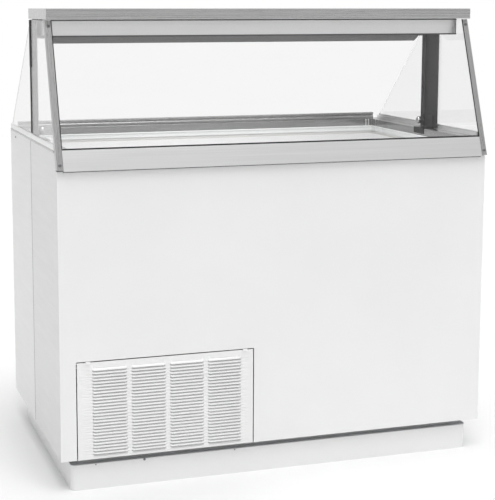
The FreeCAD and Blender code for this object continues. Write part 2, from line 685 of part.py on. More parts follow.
# ---------------------------------------------------------------- machine compartment
def make_compressor():
    tray = bar("compressor_tray", "XY_Plane", D.body_bottom + D.pan_thick, D.pan_thick,
               [rectangle(D.tray_left, D.tray_front, D.tray_right, D.tray_rear)])
    wall = D.pan_thick
    pad(tray, "XY_Plane", D.body_bottom + D.pan_thick, D.tray_lip,
        [rectangle(D.tray_left, D.tray_front, D.tray_right, D.tray_rear),
         rectangle(D.tray_left + wall, D.tray_front + wall, D.tray_right - wall, D.tray_rear - wall)])
    node(tray, "compressor_tray")

    can = rod("Z", D.can_across, D.can_deep, D.can_bottom, D.can_radius, D.can_height)
    DOC.recompute()
    rounded = DOC.addObject("Part::Fillet", "RoundedCan")
    rounded.Base = can
    radius = SIZES["can_round"]
    circles = [i for i, e in enumerate(can.Shape.Edges, start=1) if isinstance(e.Curve, Part.Circle)]
    rounded.Edges = [(i, radius, radius) for i in circles]
    half_across, half_deep = D.foot_plate_across / 2, D.foot_plate_deep / 2
    feet = block(D.can_across - half_across, D.can_across + half_across, D.can_deep - half_deep,
                 D.can_deep + half_deep, D.can_bottom - D.foot_plate_thick, D.can_bottom + 1)
    node(fused([rounded, feet]), "compressor")

    grommets = []
    tray_top = D.body_bottom + 2 * D.pan_thick
    for across in (-1, 1):
        for deep in (-1, 1):
            grommets.append(rod("Z", D.can_across + across * (half_across - D.grommet_inset),
                                D.can_deep + deep * (half_deep - D.grommet_inset), tray_top,
                                D.grommet_radius, D.can_bottom - D.foot_plate_thick - tray_top))
    group("compressor_grommets", grommets)
    node(block(D.relay_across, D.relay_across + D.relay_width, D.can_deep - D.relay_depth / 2,
               D.can_deep + D.relay_depth / 2, D.relay_bottom, D.relay_bottom + D.relay_height),
         "relay_box")


def make_condenser():
    rear = D.coil_front + D.coil_depth
    members = [block(D.coil_left, D.coil_right, D.coil_front, rear, D.coil_bottom, D.coil_top)]
    for index in range(CONDENSER_BENDS):
        bend = DOC.addObject("Part::Torus", "Bend")
        bend.Placement = FreeCAD.Placement(FreeCAD.Vector(), FreeCAD.Rotation(0, 0, 90))
        bend.Angle3 = 180
        turn = FreeCAD.Rotation(FreeCAD.Vector(1, 0, 0), 90).multiply(
            FreeCAD.Rotation(FreeCAD.Vector(0, 0, 1), 90))
        bend.Placement = FreeCAD.Placement(FreeCAD.Vector(), turn)
        place(bend, D.coil_left, D.coil_front + D.coil_depth / 2,
              D.coil_bottom + D.bend_pitch * (index + 0.5))
        bind(bend, "Radius1", D.bend_radius)
        bind(bend, "Radius2", D.bend_tube)
        members.append(bend)
    group("condenser_coil", members)

    skin = D.shroud_skin
    outer = block(D.coil_left, D.coil_right, rear, rear + D.shroud_depth, D.coil_bottom, D.coil_top)
    inner = block(D.coil_left + skin, D.coil_right - skin, rear - 1, rear + D.shroud_depth - skin,
                  D.coil_bottom + skin, D.coil_top - skin)
    hole = rod("Y", D.fan_across, rear, D.fan_up, D.fan_hole, 2 * D.shroud_depth)
    node(cut(outer, [inner, hole]), "fan_shroud")


def make_fan():
    hub = rod("Y", D.fan_across, D.fan_deep - D.fan_hub_length / 2, D.fan_up, D.fan_hub,
              D.fan_hub_length)
    parts = [hub]
    length = SIZES["fan_radius"] - SIZES["fan_hub"] / 2
    for index in range(FAN_BLADES):
        blade = DOC.addObject("Part::Box", "Blade")
        blade.Label = "Blade%d" % index
        bind(blade, "Length", D.fan_radius - D.fan_hub / 2)
        bind(blade, "Width", D.blade_thick)
        bind(blade, "Height", D.blade_width)
        pitch = FreeCAD.Rotation(FreeCAD.Vector(1, 0, 0), SIZES["blade_pitch_angle"])
        around = FreeCAD.Rotation(FreeCAD.Vector(0, 1, 0), 360 / FAN_BLADES * index)
        middle = FreeCAD.Vector(SIZES["fan_hub"] / 2, -SIZES["blade_thick"] / 2,
                                -SIZES["blade_width"] / 2)
        placed = FreeCAD.Placement(spot(D.fan_across, D.fan_deep, D.fan_up), around)
        placed = placed.multiply(FreeCAD.Placement(FreeCAD.Vector(), pitch))
        blade.Placement = placed.multiply(FreeCAD.Placement(middle, FreeCAD.Rotation()))
        parts.append(blade)
    bore = rod("Y", D.fan_across, D.fan_deep - D.fan_hub_length, D.fan_up,
               D.motor_shaft + D.shaft_clear, 2 * D.fan_hub_length)
    ring = cut(fused(parts), [bore])
    node(ring, "fan_blade")

    shaft_start = D.fan_deep - D.fan_hub_length / 2
    motor = fused([rod("Y", D.fan_across, D.motor_front, D.fan_up, D.motor_radius, D.motor_length),
                   rod("Y", D.fan_across, shaft_start, D.fan_up, D.motor_shaft,
                       D.motor_front - shaft_start + 1)])
    tray_top = D.body_bottom + 2 * D.pan_thick
    half = D.pedestal_across / 2
    pedestal = cut(block(D.fan_across - half, D.fan_across + half, D.motor_front + 8,
                         D.motor_front + 8 + D.pedestal_deep, tray_top, D.fan_up),
                   [rod("Y", D.fan_across, D.motor_front, D.fan_up, D.motor_radius, D.motor_length)])
    group("fan_motor", [motor, pedestal])


def make_lines():
    pipe, line = SIZES["pipe_radius"], SIZES["line_radius"]
    can_front = D.can_deep - D.can_radius
    can_rear = D.can_deep + D.can_radius
    out_up, in_up = 230, 200
    behind_motor = D.motor_front + D.motor_length + 24
    beside_coil = D.coil_right + 24
    coil_middle = D.coil_front + D.coil_depth / 2
    bay_side = D.bay_right - D.bay_skin
    drier_end = D.drier_front + D.drier_length
    routes = [
        (pipe, [spot(D.can_across, can_front, out_up), spot(D.can_across, behind_motor, out_up),
                spot(beside_coil, behind_motor, out_up), spot(beside_coil, coil_middle, out_up),
                spot(D.coil_right, coil_middle, out_up)]),
        (pipe, [spot(D.can_across, can_rear, in_up), spot(D.can_across, can_rear + 60, in_up),
                spot(D.can_across, can_rear + 60, D.bay_top)]),
        (line, [spot(D.coil_right, coil_middle, D.drier_up), spot(D.drier_across, coil_middle, D.drier_up),
                spot(D.drier_across, D.drier_front, D.drier_up)]),
        (line / 2, [spot(D.drier_across, drier_end, D.drier_up),
                    spot(D.drier_across, drier_end + 90, D.drier_up),
                    spot(bay_side, drier_end + 90, D.drier_up)]),
    ]
    group("refrigerant_lines", [shaped(tube_along(points, radius)) for radius, points in routes])
    node(rod("Y", D.drier_across, D.drier_front, D.drier_up, D.drier_radius, D.drier_length),
         "filter_drier")


def make_controls():
    inside = D.body_rear - D.skin
    half = D.housing_half
    housing = fused([block(D.knob_across - half, D.knob_across + half, inside - D.housing_depth, inside,
                           D.knob_up - half, D.knob_up + half / 2),
                     rod("Y", D.knob_across, inside - 1, D.knob_up, D.shaft_radius,
                         D.skin + D.knob_length * 0.7)])
    node(housing, "thermostat_housing")
    start = D.body_rear + D.knob_gap
    knob = cut(rod("Y", D.knob_across, start, D.knob_up, D.knob_radius, D.knob_length),
               [rod("Y", D.knob_across, start - 1, D.knob_up, D.shaft_radius + D.shaft_clear,
                    D.knob_length * 0.8)])
    node(knob, "thermostat_knob")
    gland = cut(fused([rod("Y", D.gland_across, D.body_rear - D.gland_length / 2, D.gland_up,
                           D.gland_radius - 3, D.gland_length),
                       rod("Y", D.gland_across, D.body_rear, D.gland_up, D.gland_radius,
                           D.gland_length / 4)]),
                [rod("Y", D.gland_across, D.body_rear - D.gland_length, D.gland_up, D.gland_bore,
                     2 * D.gland_length)])
    node(gland, "power_inlet_gland")


# ---------------------------------------------------------------- canopy
def make_fascia():
    skin = D.trim_skin
    outline = [(slope_at(D.front_top), D.front_top + D.fit_gap),
               (slope_at(D.front_top) + D.fascia_return, D.front_top + D.fit_gap),
               (slope_at(D.front_top) + D.fascia_return, D.front_top + skin),
               (slope_at(D.front_top + skin) + skin, D.front_top + skin),
               (slope_at(D.fascia_top) + skin, D.fascia_top),
               (slope_at(D.fascia_top), D.fascia_top)]
    node(bar("front_fascia", "YZ_Plane", -D.fascia_half, 2 * D.fascia_half, [outline]), "front_fascia")


def strip_on_slope(bottom, top, behind, thick):
    """A band that follows the canopy's slope, behind the front plane."""
    return [(slope_at(bottom) + behind, bottom), (slope_at(bottom) + behind + thick, bottom),
            (slope_at(top) + behind + thick, top), (slope_at(top) + behind, top)]


def make_trims():
    top = D.canopy_inner_top
    for side, sign in (("left", -1), ("right", 1)):
        label = "trim_" + side
        face = sided(sign, HALF - D.trim_width, HALF)
        edge = sided(sign, HALF - D.trim_skin, HALF)
        trim = bar(label, "YZ_Plane", face[0], D.trim_width,
                   [strip_on_slope(D.trim_bottom, top, 0, D.trim_skin)])
        pad(trim, "YZ_Plane", edge[0], D.trim_skin,
            [strip_on_slope(D.trim_bottom, top, 0, D.trim_depth)])
        node(trim, label)


def make_glass():
    top = D.canopy_inner_top
    front = bar("front_glass", "YZ_Plane", -D.front_glass_half, 2 * D.front_glass_half,
                [strip_on_slope(D.front_glass_bottom, top, D.glass_gap, D.front_glass_thick)])
    node(front, "front_glass")
    outline = [(slope_at(D.side_glass_bottom) + D.side_glass_front, D.side_glass_bottom),
               (D.side_glass_foot_rear, D.side_glass_bottom), (D.side_glass_top_rear, top),
               (slope_at(top) + D.side_glass_front, top)]
    for side, sign in (("left", -1), ("right", 1)):
        label = "side_glass_" + side
        start = sided(sign, D.side_glass_inner, D.side_glass_inner + D.glass_thick)[0]
        node(bar(label, "YZ_Plane", start, D.glass_thick, [outline]), label)


def make_side_channels():
    channels = []
    for sign in (-1, 1):
        near, outer = D.channel_inner * sign, HALF * sign
        floor = D.rim_top + D.channel_floor
        outline = [(near, D.rim_top), (outer, D.rim_top), (outer, D.channel_top),
                   (outer - D.channel_outer_wall * sign, D.channel_top),
                   (outer - D.channel_outer_wall * sign, floor),
                   (near + D.channel_inner_wall * sign, floor),
                   (near + D.channel_inner_wall * sign, D.channel_inner_top), (near, D.channel_inner_top)]
        channels.append(bar("side_channel", "XZ_Plane", D.channel_front,
                            D.channel_rear - D.channel_front, [outline]))
    group("side_channels", channels)


def make_cap():
    wall = D.skin
    cap = bar("canopy_cap", "XY_Plane", D.cap_bottom, D.cap_top - D.cap_bottom,
              [rectangle(-HALF, D.cap_front, HALF, D.cap_rear)])
    pocket(cap, "XY_Plane", D.cap_bottom, D.cap_top - D.cap_bottom - wall,
           [rectangle(wall - HALF, D.cap_front + wall, HALF - wall, D.cap_rear - wall)])
    node(cap, "canopy_cap")
    inset = D.deck_inset
    node(bar("canopy_deck_plate", "XY_Plane", D.cap_bottom, D.skin,
             [rectangle(inset - HALF, D.cap_front + inset, HALF - inset, D.cap_rear - inset)]),
         "canopy_deck_plate")


def make_hood():
    """The lamp trough under the cap: a light front face and a deeper reflector behind the lamp."""
    skin, top = D.hood_skin, D.cap_bottom
    front, rear, low = D.hood_front, D.hood_rear, D.hood_bottom
    outline = [(front, low), (front + D.hood_return, low), (front + D.hood_return, low + skin),
               (front + skin, low + skin), (front + skin, top - skin), (rear, top - skin), (rear, top),
               (front, top)]
    hood = bar("light_hood", "YZ_Plane", -D.hood_half, 2 * D.hood_half, [outline])
    inner, corner, foot = D.reflector_half, D.reflector_corner, D.reflector_bottom
    wide = D.hood_half
    pad(hood, "XZ_Plane", rear - skin, skin,
        [[(-inner, foot), (inner, foot), (inner + corner, foot + corner), (wide, foot + corner),
          (wide, top), (-wide, top), (-wide, foot + corner), (-inner - corner, foot + corner)]])
    for sign in (-1, 1):
        pad(hood, "YZ_Plane", sided(sign, wide - skin, wide)[0], skin,
            [rectangle(front, low, rear, top)])
    node(hood, "light_hood")


def make_lamp():
    node(rod("X", -D.lamp_half, D.lamp_deep, D.lamp_up, D.lamp_radius, 2 * D.lamp_half), "lamp_tube")
    sockets = []
    for sign in (-1, 1):
        left, right = sided(sign, D.lamp_half, D.lamp_half + D.socket_width)
        sockets.append(block(left, right, D.lamp_deep - D.socket_depth / 2,
                             D.lamp_deep + D.socket_depth / 2, D.socket_bottom,
                             D.cap_bottom - D.hood_skin))
    group("lamp_sockets", sockets)
    top = D.cap_bottom - D.hood_skin
    node(block(-D.ballast_half, D.ballast_half, D.ballast_front, D.ballast_front + D.ballast_depth,
               top - D.ballast_height, top), "lamp_ballast")


def make_light_switch():
    half_wide, half_high = D.switch_half_width, D.switch_half_height
    across, up, back = D.switch_across, D.switch_up, D.hood_rear
    frame = D.switch_frame
    bezel = bar("light_switch_bezel", "XZ_Plane", back, D.switch_frame_depth,
                [rectangle(across - half_wide - frame, up - half_high - frame,
                           across + half_wide + frame, up + half_high + frame),
                 rectangle(across - half_wide, up - half_high, across + half_wide, up + half_high)])
    node(bezel, "light_switch_bezel")
    gap = D.switch_gap
    high = half_high - 2.5 * gap
    rocker = bar("light_switch_rocker", "YZ_Plane", across - half_wide + gap, 2 * (half_wide - gap),
                 [[(back + 3 * gap, up - high / 2), (back + D.switch_travel_depth - 1, up - high),
                   (back + D.switch_travel_depth, up - high), (back + D.switch_travel_depth - 1, up),
                   (back + D.switch_travel_depth + 1, up + high),
                   (back + D.switch_travel_depth - 1, up + high), (back + 3 * gap, up + high / 2)]])
    node(rocker, "light_switch_rocker")


def make_posts():
    bottom, top = D.post_bottom, D.cap_bottom
    flare_start = top - D.post_flare_height
    shaft = D.screw_shank + D.screw_clear
    outline = [(D.post_front, bottom), (D.post_rear, bottom), (D.post_rear, top),
               (D.post_front - D.post_flare, top), (D.post_front, flare_start)]
    feet = []
    for side, sign in (("left", -1), ("right", 1)):
        label = "post_" + side
        plate = sided(sign, D.post_inner, D.post_inner + D.post_skin)
        flange = sided(sign, D.post_inner - D.post_flange, D.post_inner)
        post = bar(label, "YZ_Plane", plate[0], D.post_skin, [outline],
                   [(D.screw_deep, D.screw_up, shaft)])
        pad(post, "YZ_Plane", flange[0], D.post_flange,
            [rectangle(D.post_rear - D.post_skin, bottom, D.post_rear, top)])
        node(post, label)

        hook, outer, skin = D.foot_hook * sign, D.foot_outer * sign, D.foot_skin * sign
        rise = [(hook, D.foot_hook_bottom), (hook + skin, D.foot_hook_bottom), (hook + skin, D.rim_top),
                (outer, D.rim_top), (outer, D.foot_top), (outer - skin, D.foot_top),
                (outer - skin, D.rim_top + D.foot_skin), (hook, D.rim_top + D.foot_skin)]
        foot = bar("foot", "XZ_Plane", D.foot_front, D.foot_rear - D.foot_front, [rise])
        hole = rod("X", -HALF if sign < 0 else D.opening_half, D.screw_deep, D.screw_up, shaft,
                   HALF - D.opening_half)
        feet.append(cut(foot, [hole]))
    group("post_feet", feet)


def make_thumb_screws():
    for side, sign in (("left", -1), ("right", 1)):
        head = sided(sign, D.screw_head_inner, D.screw_head_outer)
        shank = sided(sign, D.screw_head_outer - 1, D.screw_tip - 1)
        knob = DOC.addObject("Part::Prism", "Knob")
        knob.Polygon = 6
        knob.Placement = FreeCAD.Placement(FreeCAD.Vector(), TURNS["X"])
        place(knob, head[0], D.screw_deep, D.screw_up)
        bind(knob, "Circumradius", D.screw_head)
        bind(knob, "Height", D.screw_head_outer - D.screw_head_inner)
        node(fused([knob, rod("X", shank[0], D.screw_deep, D.screw_up, D.screw_shank,
                              shank[1] - shank[0])]), "thumb_screw_" + side)


def make_canopy_screws():
    """Round-headed screws that hold each trim, at its foot and near its top."""
    lean = math.degrees(math.atan(SIZES["slope"]))
    across = HALF - D.trim_width / 2
    screws = []
    for sign in (-1, 1):
        for up in (D.trim_bottom + 12, D.canopy_inner_top - 14):
            screw = DOC.addObject("Part::Cylinder", "Screw")
            outward = FreeCAD.Rotation(FreeCAD.Vector(1, 0, 0), 90 - lean)
            screw.Placement = FreeCAD.Placement(FreeCAD.Vector(), outward)
            place(screw, across * sign, slope_at(up), up)
            screw.Radius = 4
            screw.Height = 2
            screws.append(screw)
    group("canopy_screws", screws)


def check_and_write():
    DOC.recompute()
    faults = ["%s: %s" % (thing.Name, thing.State) for thing in DOC.Objects
              if "Invalid" in thing.State or "Error" in thing.State]
    for part in NODES:
        shape = part.Shape
        if shape.isNull() or not shape.isValid() or not shape.Solids:
            faults.append("%s: shape" % part.Label)
    if faults:
        raise RuntimeError("\n".join(faults))
    os.makedirs("parts", exist_ok=True)
    for part in NODES:
        part.Shape.exportStep("parts/%s.step" % part.Label)
    print("%d nodes written" % len(NODES))


make_base()
make_bottom_pan()
make_front_panel()
make_side_panels()
make_rear_panel()
make_grille()
make_rear_vent()
make_tank()
make_breaker_strip()
make_top_rim()
make_rear_rail()
make_foam()
make_compartment()
make_ledges()
make_tub_collars()
make_storage_shelf()
make_drain()
make_evaporator()
make_compressor()
make_condenser()
make_fan()
make_lines()
make_controls()
make_fascia()
make_trims()
make_glass()
make_side_channels()
make_cap()
make_hood()
make_lamp()
make_light_switch()
make_posts()
make_thumb_screws()
make_canopy_screws()
check_and_write()
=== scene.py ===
import bmesh
import bpy
import math
from mathutils import Matrix, Vector


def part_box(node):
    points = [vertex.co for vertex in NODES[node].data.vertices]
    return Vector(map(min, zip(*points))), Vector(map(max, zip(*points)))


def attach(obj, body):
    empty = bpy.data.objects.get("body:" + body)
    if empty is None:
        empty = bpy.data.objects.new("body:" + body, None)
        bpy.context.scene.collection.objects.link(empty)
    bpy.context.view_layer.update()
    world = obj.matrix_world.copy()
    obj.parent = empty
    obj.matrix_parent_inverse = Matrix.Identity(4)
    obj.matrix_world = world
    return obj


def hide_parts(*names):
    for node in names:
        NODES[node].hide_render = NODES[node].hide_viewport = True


# Looks of the ice cream dipping cabinet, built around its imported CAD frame. Lengths are in metres.
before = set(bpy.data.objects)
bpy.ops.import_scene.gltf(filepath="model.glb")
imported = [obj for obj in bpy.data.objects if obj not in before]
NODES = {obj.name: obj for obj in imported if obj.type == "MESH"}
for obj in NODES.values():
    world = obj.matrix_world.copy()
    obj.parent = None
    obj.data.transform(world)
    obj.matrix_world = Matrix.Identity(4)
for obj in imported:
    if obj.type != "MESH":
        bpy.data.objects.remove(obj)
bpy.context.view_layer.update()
ROOT = "cabinet"
MM = 0.001
SHARP_DEGREES = 35
# how far the canopy's front leans back for each metre of height
LEAN = 0.36


# ---------------------------------------------------------------- node helpers
class Shader:
    """A material's node tree, with short ways to add and join nodes."""

    def __init__(self, name):
        self.material = bpy.data.materials.new(name)
        self.material.use_nodes = True
        self.tree = self.material.node_tree
        self.bsdf = self.tree.nodes["Principled BSDF"]
        coordinates = self.tree.nodes.new("ShaderNodeTexCoord")
        self.place = coordinates.outputs["Object"]

    def node(self, kind, **values):
        made = self.tree.nodes.new("ShaderNode" + kind)
        for key, value in values.items():
            if key in made.inputs:
                self.feed(made.inputs[key], value)
            else:
                setattr(made, key, value)
        return made

    def feed(self, socket, value):
        if isinstance(value, bpy.types.NodeSocket):
            self.tree.links.new(value, socket)
        else:
            socket.default_value = value

    def stretched(self, scale):
        """Object coordinates multiplied by a scale for each axis."""
        made = self.node("VectorMath", operation="MULTIPLY")
        self.feed(made.inputs[0], self.place)
        self.feed(made.inputs[1], scale)
        return made.outputs[0]

    def noise(self, vector, scale, detail=3.0, roughness=0.5):
        made = self.node("TexNoise", Scale=scale, Detail=detail, Roughness=roughness)
        self.feed(made.inputs["Vector"], vector)
        return made.outputs["Fac"]

    def span(self, value, low, high, start=0.3, end=0.7):
        """Map a value from start..end to low..high."""
        made = self.node("MapRange")
        for index, number in enumerate((value, start, end, low, high)):
            self.feed(made.inputs[index], number)
        return made.outputs[0]

    def tint(self, factor, first, second):
        made = self.node("Mix", data_type="RGBA")
        self.feed(made.inputs["Factor"], factor)
        self.feed(made.inputs[6], (*first, 1))
        self.feed(made.inputs[7], (*second, 1))
        return made.outputs[2]

    def bump(self, height, strength, distance):
        made = self.node("Bump", Strength=strength, Distance=distance)
        self.feed(made.inputs["Height"], height)
        self.feed(self.bsdf.inputs["Normal"], made.outputs[0])

    def set(self, **values):
        for key, value in values.items():
            self.feed(self.bsdf.inputs[key.replace("_", " ")], value)


def shaded(colour, factor):
    return tuple(channel * factor for channel in colour)


def enamel(name, colour, roughness=0.34, peel=0.05, spread=0.03):
    """Baked enamel on sheet steel: orange peel, faint clouding and rub marks."""
    shader = Shader(name)
    cloud = shader.noise(shader.place, 3.0, 4.0)
    shader.set(Base_Color=shader.tint(shader.span(cloud, 0, 1), shaded(colour, 1 - spread), colour))
    rubs = shader.noise(shader.stretched((5, 5, 60)), 1.0, 5.0, 0.7)
    shader.set(Roughness=shader.span(rubs, roughness - 0.06, roughness + 0.08, 0.35, 0.68))
    skin = shader.noise(shader.place, 420, 2.0)
    shader.bump(skin, peel, 0.0004)
    shader.set(Specular_IOR_Level=0.5, Coat_Weight=0.15, Coat_Roughness=0.12)
    return shader.material


def brushed(name, colour, lines, roughness=0.3, grain=0.12, depth=0.08):
    """Brushed stainless steel: lines gives how fast the grain changes along each axis."""
    shader = Shader(name)
    fine = shader.noise(shader.stretched(lines), 1.0, 4.0, 0.65)
    broad = shader.noise(shader.stretched(shaded(lines, 0.16)), 1.0, 3.0, 0.6)
    both = shader.node("Math", operation="MULTIPLY_ADD")
    for index, value in enumerate((broad, 0.55, fine)):
        shader.feed(both.inputs[index], value)
    grain_mask = shader.span(both.outputs[0], 0, 1, 0.6, 0.95)
    shader.set(Base_Color=shader.tint(grain_mask, shaded(colour, 1 - grain), colour), Metallic=1.0)
    shader.set(Roughness=shader.span(both.outputs[0], roughness - 0.06, roughness + 0.08, 0.55, 1.0))
    shader.bump(both.outputs[0], depth, 0.0002)
    return shader.material


def polished(name, colour, roughness=0.14):
    """Bright rolled steel with a faint lengthwise line and handling haze."""
    shader = Shader(name)
    lines = shader.noise(shader.stretched((4, 300, 300)), 1.0, 3.0, 0.6)
    haze = shader.noise(shader.place, 14, 4.0)
    shader.set(Base_Color=shader.tint(shader.span(lines, 0, 1), shaded(colour, 0.9), colour), Metallic=1.0)
    shader.set(Roughness=shader.span(haze, roughness - 0.03, roughness + 0.07))
    shader.bump(lines, 0.05, 0.0002)
    return shader.material


def glass(name, colour, ior):
    """Clear glass with faint wiping marks."""
    shader = Shader(name)
    wipe = shader.noise(shader.stretched((6, 6, 26)), 1.0, 5.0, 0.7)
    shader.set(Base_Color=shader.tint(shader.span(wipe, 0, 1), shaded(colour, 0.99), colour))
    shader.set(Roughness=shader.span(wipe, 0.0, 0.02, 0.45, 0.75))
    shader.set(Transmission_Weight=1.0, IOR=ior)
    return shader.material


def plastic(name, colour, roughness, texture=900, depth=0.05, spread=0.06):
    """Moulded plastic with a fine spark texture."""
    shader = Shader(name)
    cloud = shader.noise(shader.place, 9, 4.0)
    shader.set(Base_Color=shader.tint(shader.span(cloud, 0, 1), shaded(colour, 1 - spread), colour))
    shader.set(Roughness=shader.span(cloud, roughness - 0.05, roughness + 0.07))
    shader.bump(shader.noise(shader.place, texture, 2.0), depth, 0.0003)
    return shader.material


def galvanised(name):
    """Zinc-coated sheet with its crystal spangle."""
    shader = Shader(name)
    cells = shader.node("TexVoronoi", Scale=55.0)
    shader.feed(cells.inputs["Vector"], shader.place)
    flake = shader.span(cells.outputs["Color"], 0, 1, 0, 1)
    shader.set(Base_Color=shader.tint(flake, (0.42, 0.44, 0.46), (0.62, 0.64, 0.66)), Metallic=1.0)
    shader.set(Roughness=shader.span(cells.outputs["Distance"], 0.3, 0.5, 0, 1))
    shader.bump(shader.noise(shader.place, 240, 3.0), 0.08, 0.0003)
    return shader.material


def copper(name):
    """Drawn copper tube, darker where it has been handled and heated."""
    shader = Shader(name)
    stain = shader.noise(shader.place, 22, 5.0, 0.65)
    shader.set(Base_Color=shader.tint(shader.span(stain, 0, 1), (0.42, 0.2, 0.12), (0.8, 0.42, 0.27)),
               Metallic=1.0)
    shader.set(Roughness=shader.span(stain, 0.42, 0.24))
    shader.bump(shader.noise(shader.place, 300, 2.0), 0.05, 0.0002)
    return shader.material


def foam(name):
    """Cut rigid foam."""
    shader = Shader(name)
    cells = shader.node("TexVoronoi", Scale=260.0)
    shader.feed(cells.inputs["Vector"], shader.place)
    shader.set(Base_Color=shader.tint(shader.noise(shader.place, 12, 4.0), (0.62, 0.6, 0.54),
                                      (0.74, 0.72, 0.66)), Roughness=0.9)
    shader.bump(cells.outputs["Distance"], 0.4, 0.001)
    return shader.material


FRONT_STEEL = (0.8, 0.8, 0.8)
# how fast brushed grain changes along X, Y and Z: slowest along the direction of brushing
ALONG_X = (3.0, 620.0, 620.0)
ALONG_SLOPE = (520.0, 60.0, 6.0)
ALONG_Y = (520.0, 4.0, 520.0)
UPRIGHT = (500.0, 500.0, 5.0)
M = {
    "body": enamel("body_enamel", (0.885, 0.885, 0.885)),
    # the side panels take the body's white enamel painted darker, as painted shade on the cabinet's sides
    "shaded_side_front": enamel("side_enamel_painted_shade", (0.73, 0.73, 0.73)),
    "shaded_side_rear": enamel("side_rear_enamel_painted_shade", (0.8, 0.8, 0.8)),
    "base": enamel("base_enamel", (0.88, 0.88, 0.88), 0.4),
    # the recessed base spacer is painted mid grey, as painted shade in the recess under the cabinet
    "spacer_shade": enamel("spacer_painted_shade", (0.55, 0.55, 0.55), 0.55),
    "liner": enamel("liner_enamel", (0.86, 0.86, 0.86), 0.22, 0.03),
    "black_paint": enamel("compressor_paint", (0.022, 0.022, 0.025), 0.32, 0.12),
    "fascia": brushed("fascia_steel", FRONT_STEEL, ALONG_X, 0.34, 0.06, 0.05),
    "cap": brushed("cap_steel", (0.68, 0.68, 0.68), ALONG_X, 0.27, 0.12),
    "hood": brushed("hood_steel", (0.86, 0.86, 0.86), ALONG_X, 0.4, 0.06),
    # a dark copy of the hood's steel: painted shade on the lower band and underside of the light hood
    "hood_band_shade": brushed("hood_band_painted_shade", (0.24, 0.24, 0.24), ALONG_X, 0.35, 0.15),
    "trim": brushed("trim_steel", (0.48, 0.48, 0.48), ALONG_SLOPE, 0.3, 0.16),
    "channel": brushed("channel_steel", (0.88, 0.88, 0.88), ALONG_Y, 0.34, 0.1),
    "rim": polished("rim_steel", (0.37, 0.37, 0.37)),
    "rail": polished("rail_steel", (0.4, 0.4, 0.4), 0.2),
    "collar": brushed("tub_collar_steel", (0.62, 0.63, 0.64), ALONG_X, 0.3, 0.1),
    "wire": polished("shelf_wire_plating", (0.6, 0.61, 0.62), 0.18),
    # the posts' steel in two copies: near black on faces that look along X as painted shade, lighter on the
    # edge faces as painted light
    "post": brushed("post_steel_painted_shade", (0.02, 0.02, 0.02), UPRIGHT, 0.36, 0.4),
    "post_lit_edge": brushed("post_edge_steel_painted_light", (0.42, 0.42, 0.42), UPRIGHT, 0.3, 0.25),
    "foot": brushed("post_foot_steel", (0.26, 0.26, 0.27), ALONG_Y, 0.32, 0.2),
    "bright": brushed("bright_screw_steel", (0.55, 0.55, 0.55), ALONG_Y, 0.24, 0.15),
    "glass": glass("front_pane_glass", (0.93, 0.93, 0.93), 1.42),
    "side_glass": glass("side_pane_glass", (0.955, 0.955, 0.955), 1.3),
    "breaker": plastic("breaker_plastic", (0.86, 0.87, 0.87), 0.24, spread=0.02),
    "black": plastic("black_plastic", (0.022, 0.022, 0.024), 0.42),
    "rubber": plastic("black_rubber", (0.02, 0.02, 0.02), 0.75, 500, 0.15),
    # near black: painted shadow lines under the fascia, cap and hood band, and the sealant in the side panel
    # joints
    "shadow_and_seal": plastic("painted_shadow_and_sealant", (0.09, 0.09, 0.09), 0.7, 500, 0.1),
    # whiter and glossier than the body enamel: painted highlights on the grille tabs
    "tab_highlight": enamel("tab_painted_highlight", (0.95, 0.95, 0.95), 0.2),
    "lamp": plastic("lamp_phosphor", (0.93, 0.93, 0.9), 0.16, 1200, 0.01, 0.01),
    "socket": plastic("socket_plastic", (0.82, 0.82, 0.8), 0.38),
    "zinc": galvanised("galvanised_sheet"),
    "copper": copper("copper_tube"),
    "fins": brushed("condenser_aluminium", (0.62, 0.63, 0.64), (300.0, 300.0, 8.0), 0.35, 0.2),
    "foam": foam("rigid_foam"),
}
NODE_MATERIALS = {
    "body": ["front_panel", "rear_panel", "grille_panel", "rear_vent"],
    "shaded_side_front": ["side_panel_left_front", "side_panel_right_front"],
    "shaded_side_rear": ["side_panel_left_rear", "side_panel_right_rear"],
    "base": ["base_plinth"], "spacer_shade": ["base_spacer"], "liner": ["tank_liner", "drain_tube"],
    "breaker": ["breaker_strip"], "rim": ["top_rim"], "rail": ["rear_rail"], "foam": ["foam_insulation"],
    "collar": ["tank_ledges", "tub_collar_left", "tub_collar_right"], "wire": ["storage_shelf"],
    "zinc": ["bottom_pan", "grille_clips", "compartment_shell", "compressor_tray", "fan_shroud",
             "lamp_ballast"],
    "black_paint": ["compressor"], "rubber": ["compressor_grommets", "drain_plug"],
    "black": ["relay_box", "thermostat_housing", "thermostat_knob", "power_inlet_gland",
              "light_switch_bezel", "light_switch_rocker"],
    "fins": ["condenser_coil", "fan_blade"], "foot": ["fan_motor", "canopy_screws"],
    "bright": ["thumb_screw_left", "thumb_screw_right"],
    "copper": ["filter_drier", "refrigerant_lines", "evaporator_coil"], "fascia": ["front_fascia"],
    "trim": ["trim_left", "trim_right"], "glass": ["front_glass"],
    "side_glass": ["side_glass_left", "side_glass_right"],
    "channel": ["side_channels"], "cap": ["canopy_cap", "canopy_deck_plate"], "hood": ["light_hood"],
    "lamp": ["lamp_tube"], "socket": ["lamp_sockets"], "post": ["post_left", "post_right", "post_feet"],
}
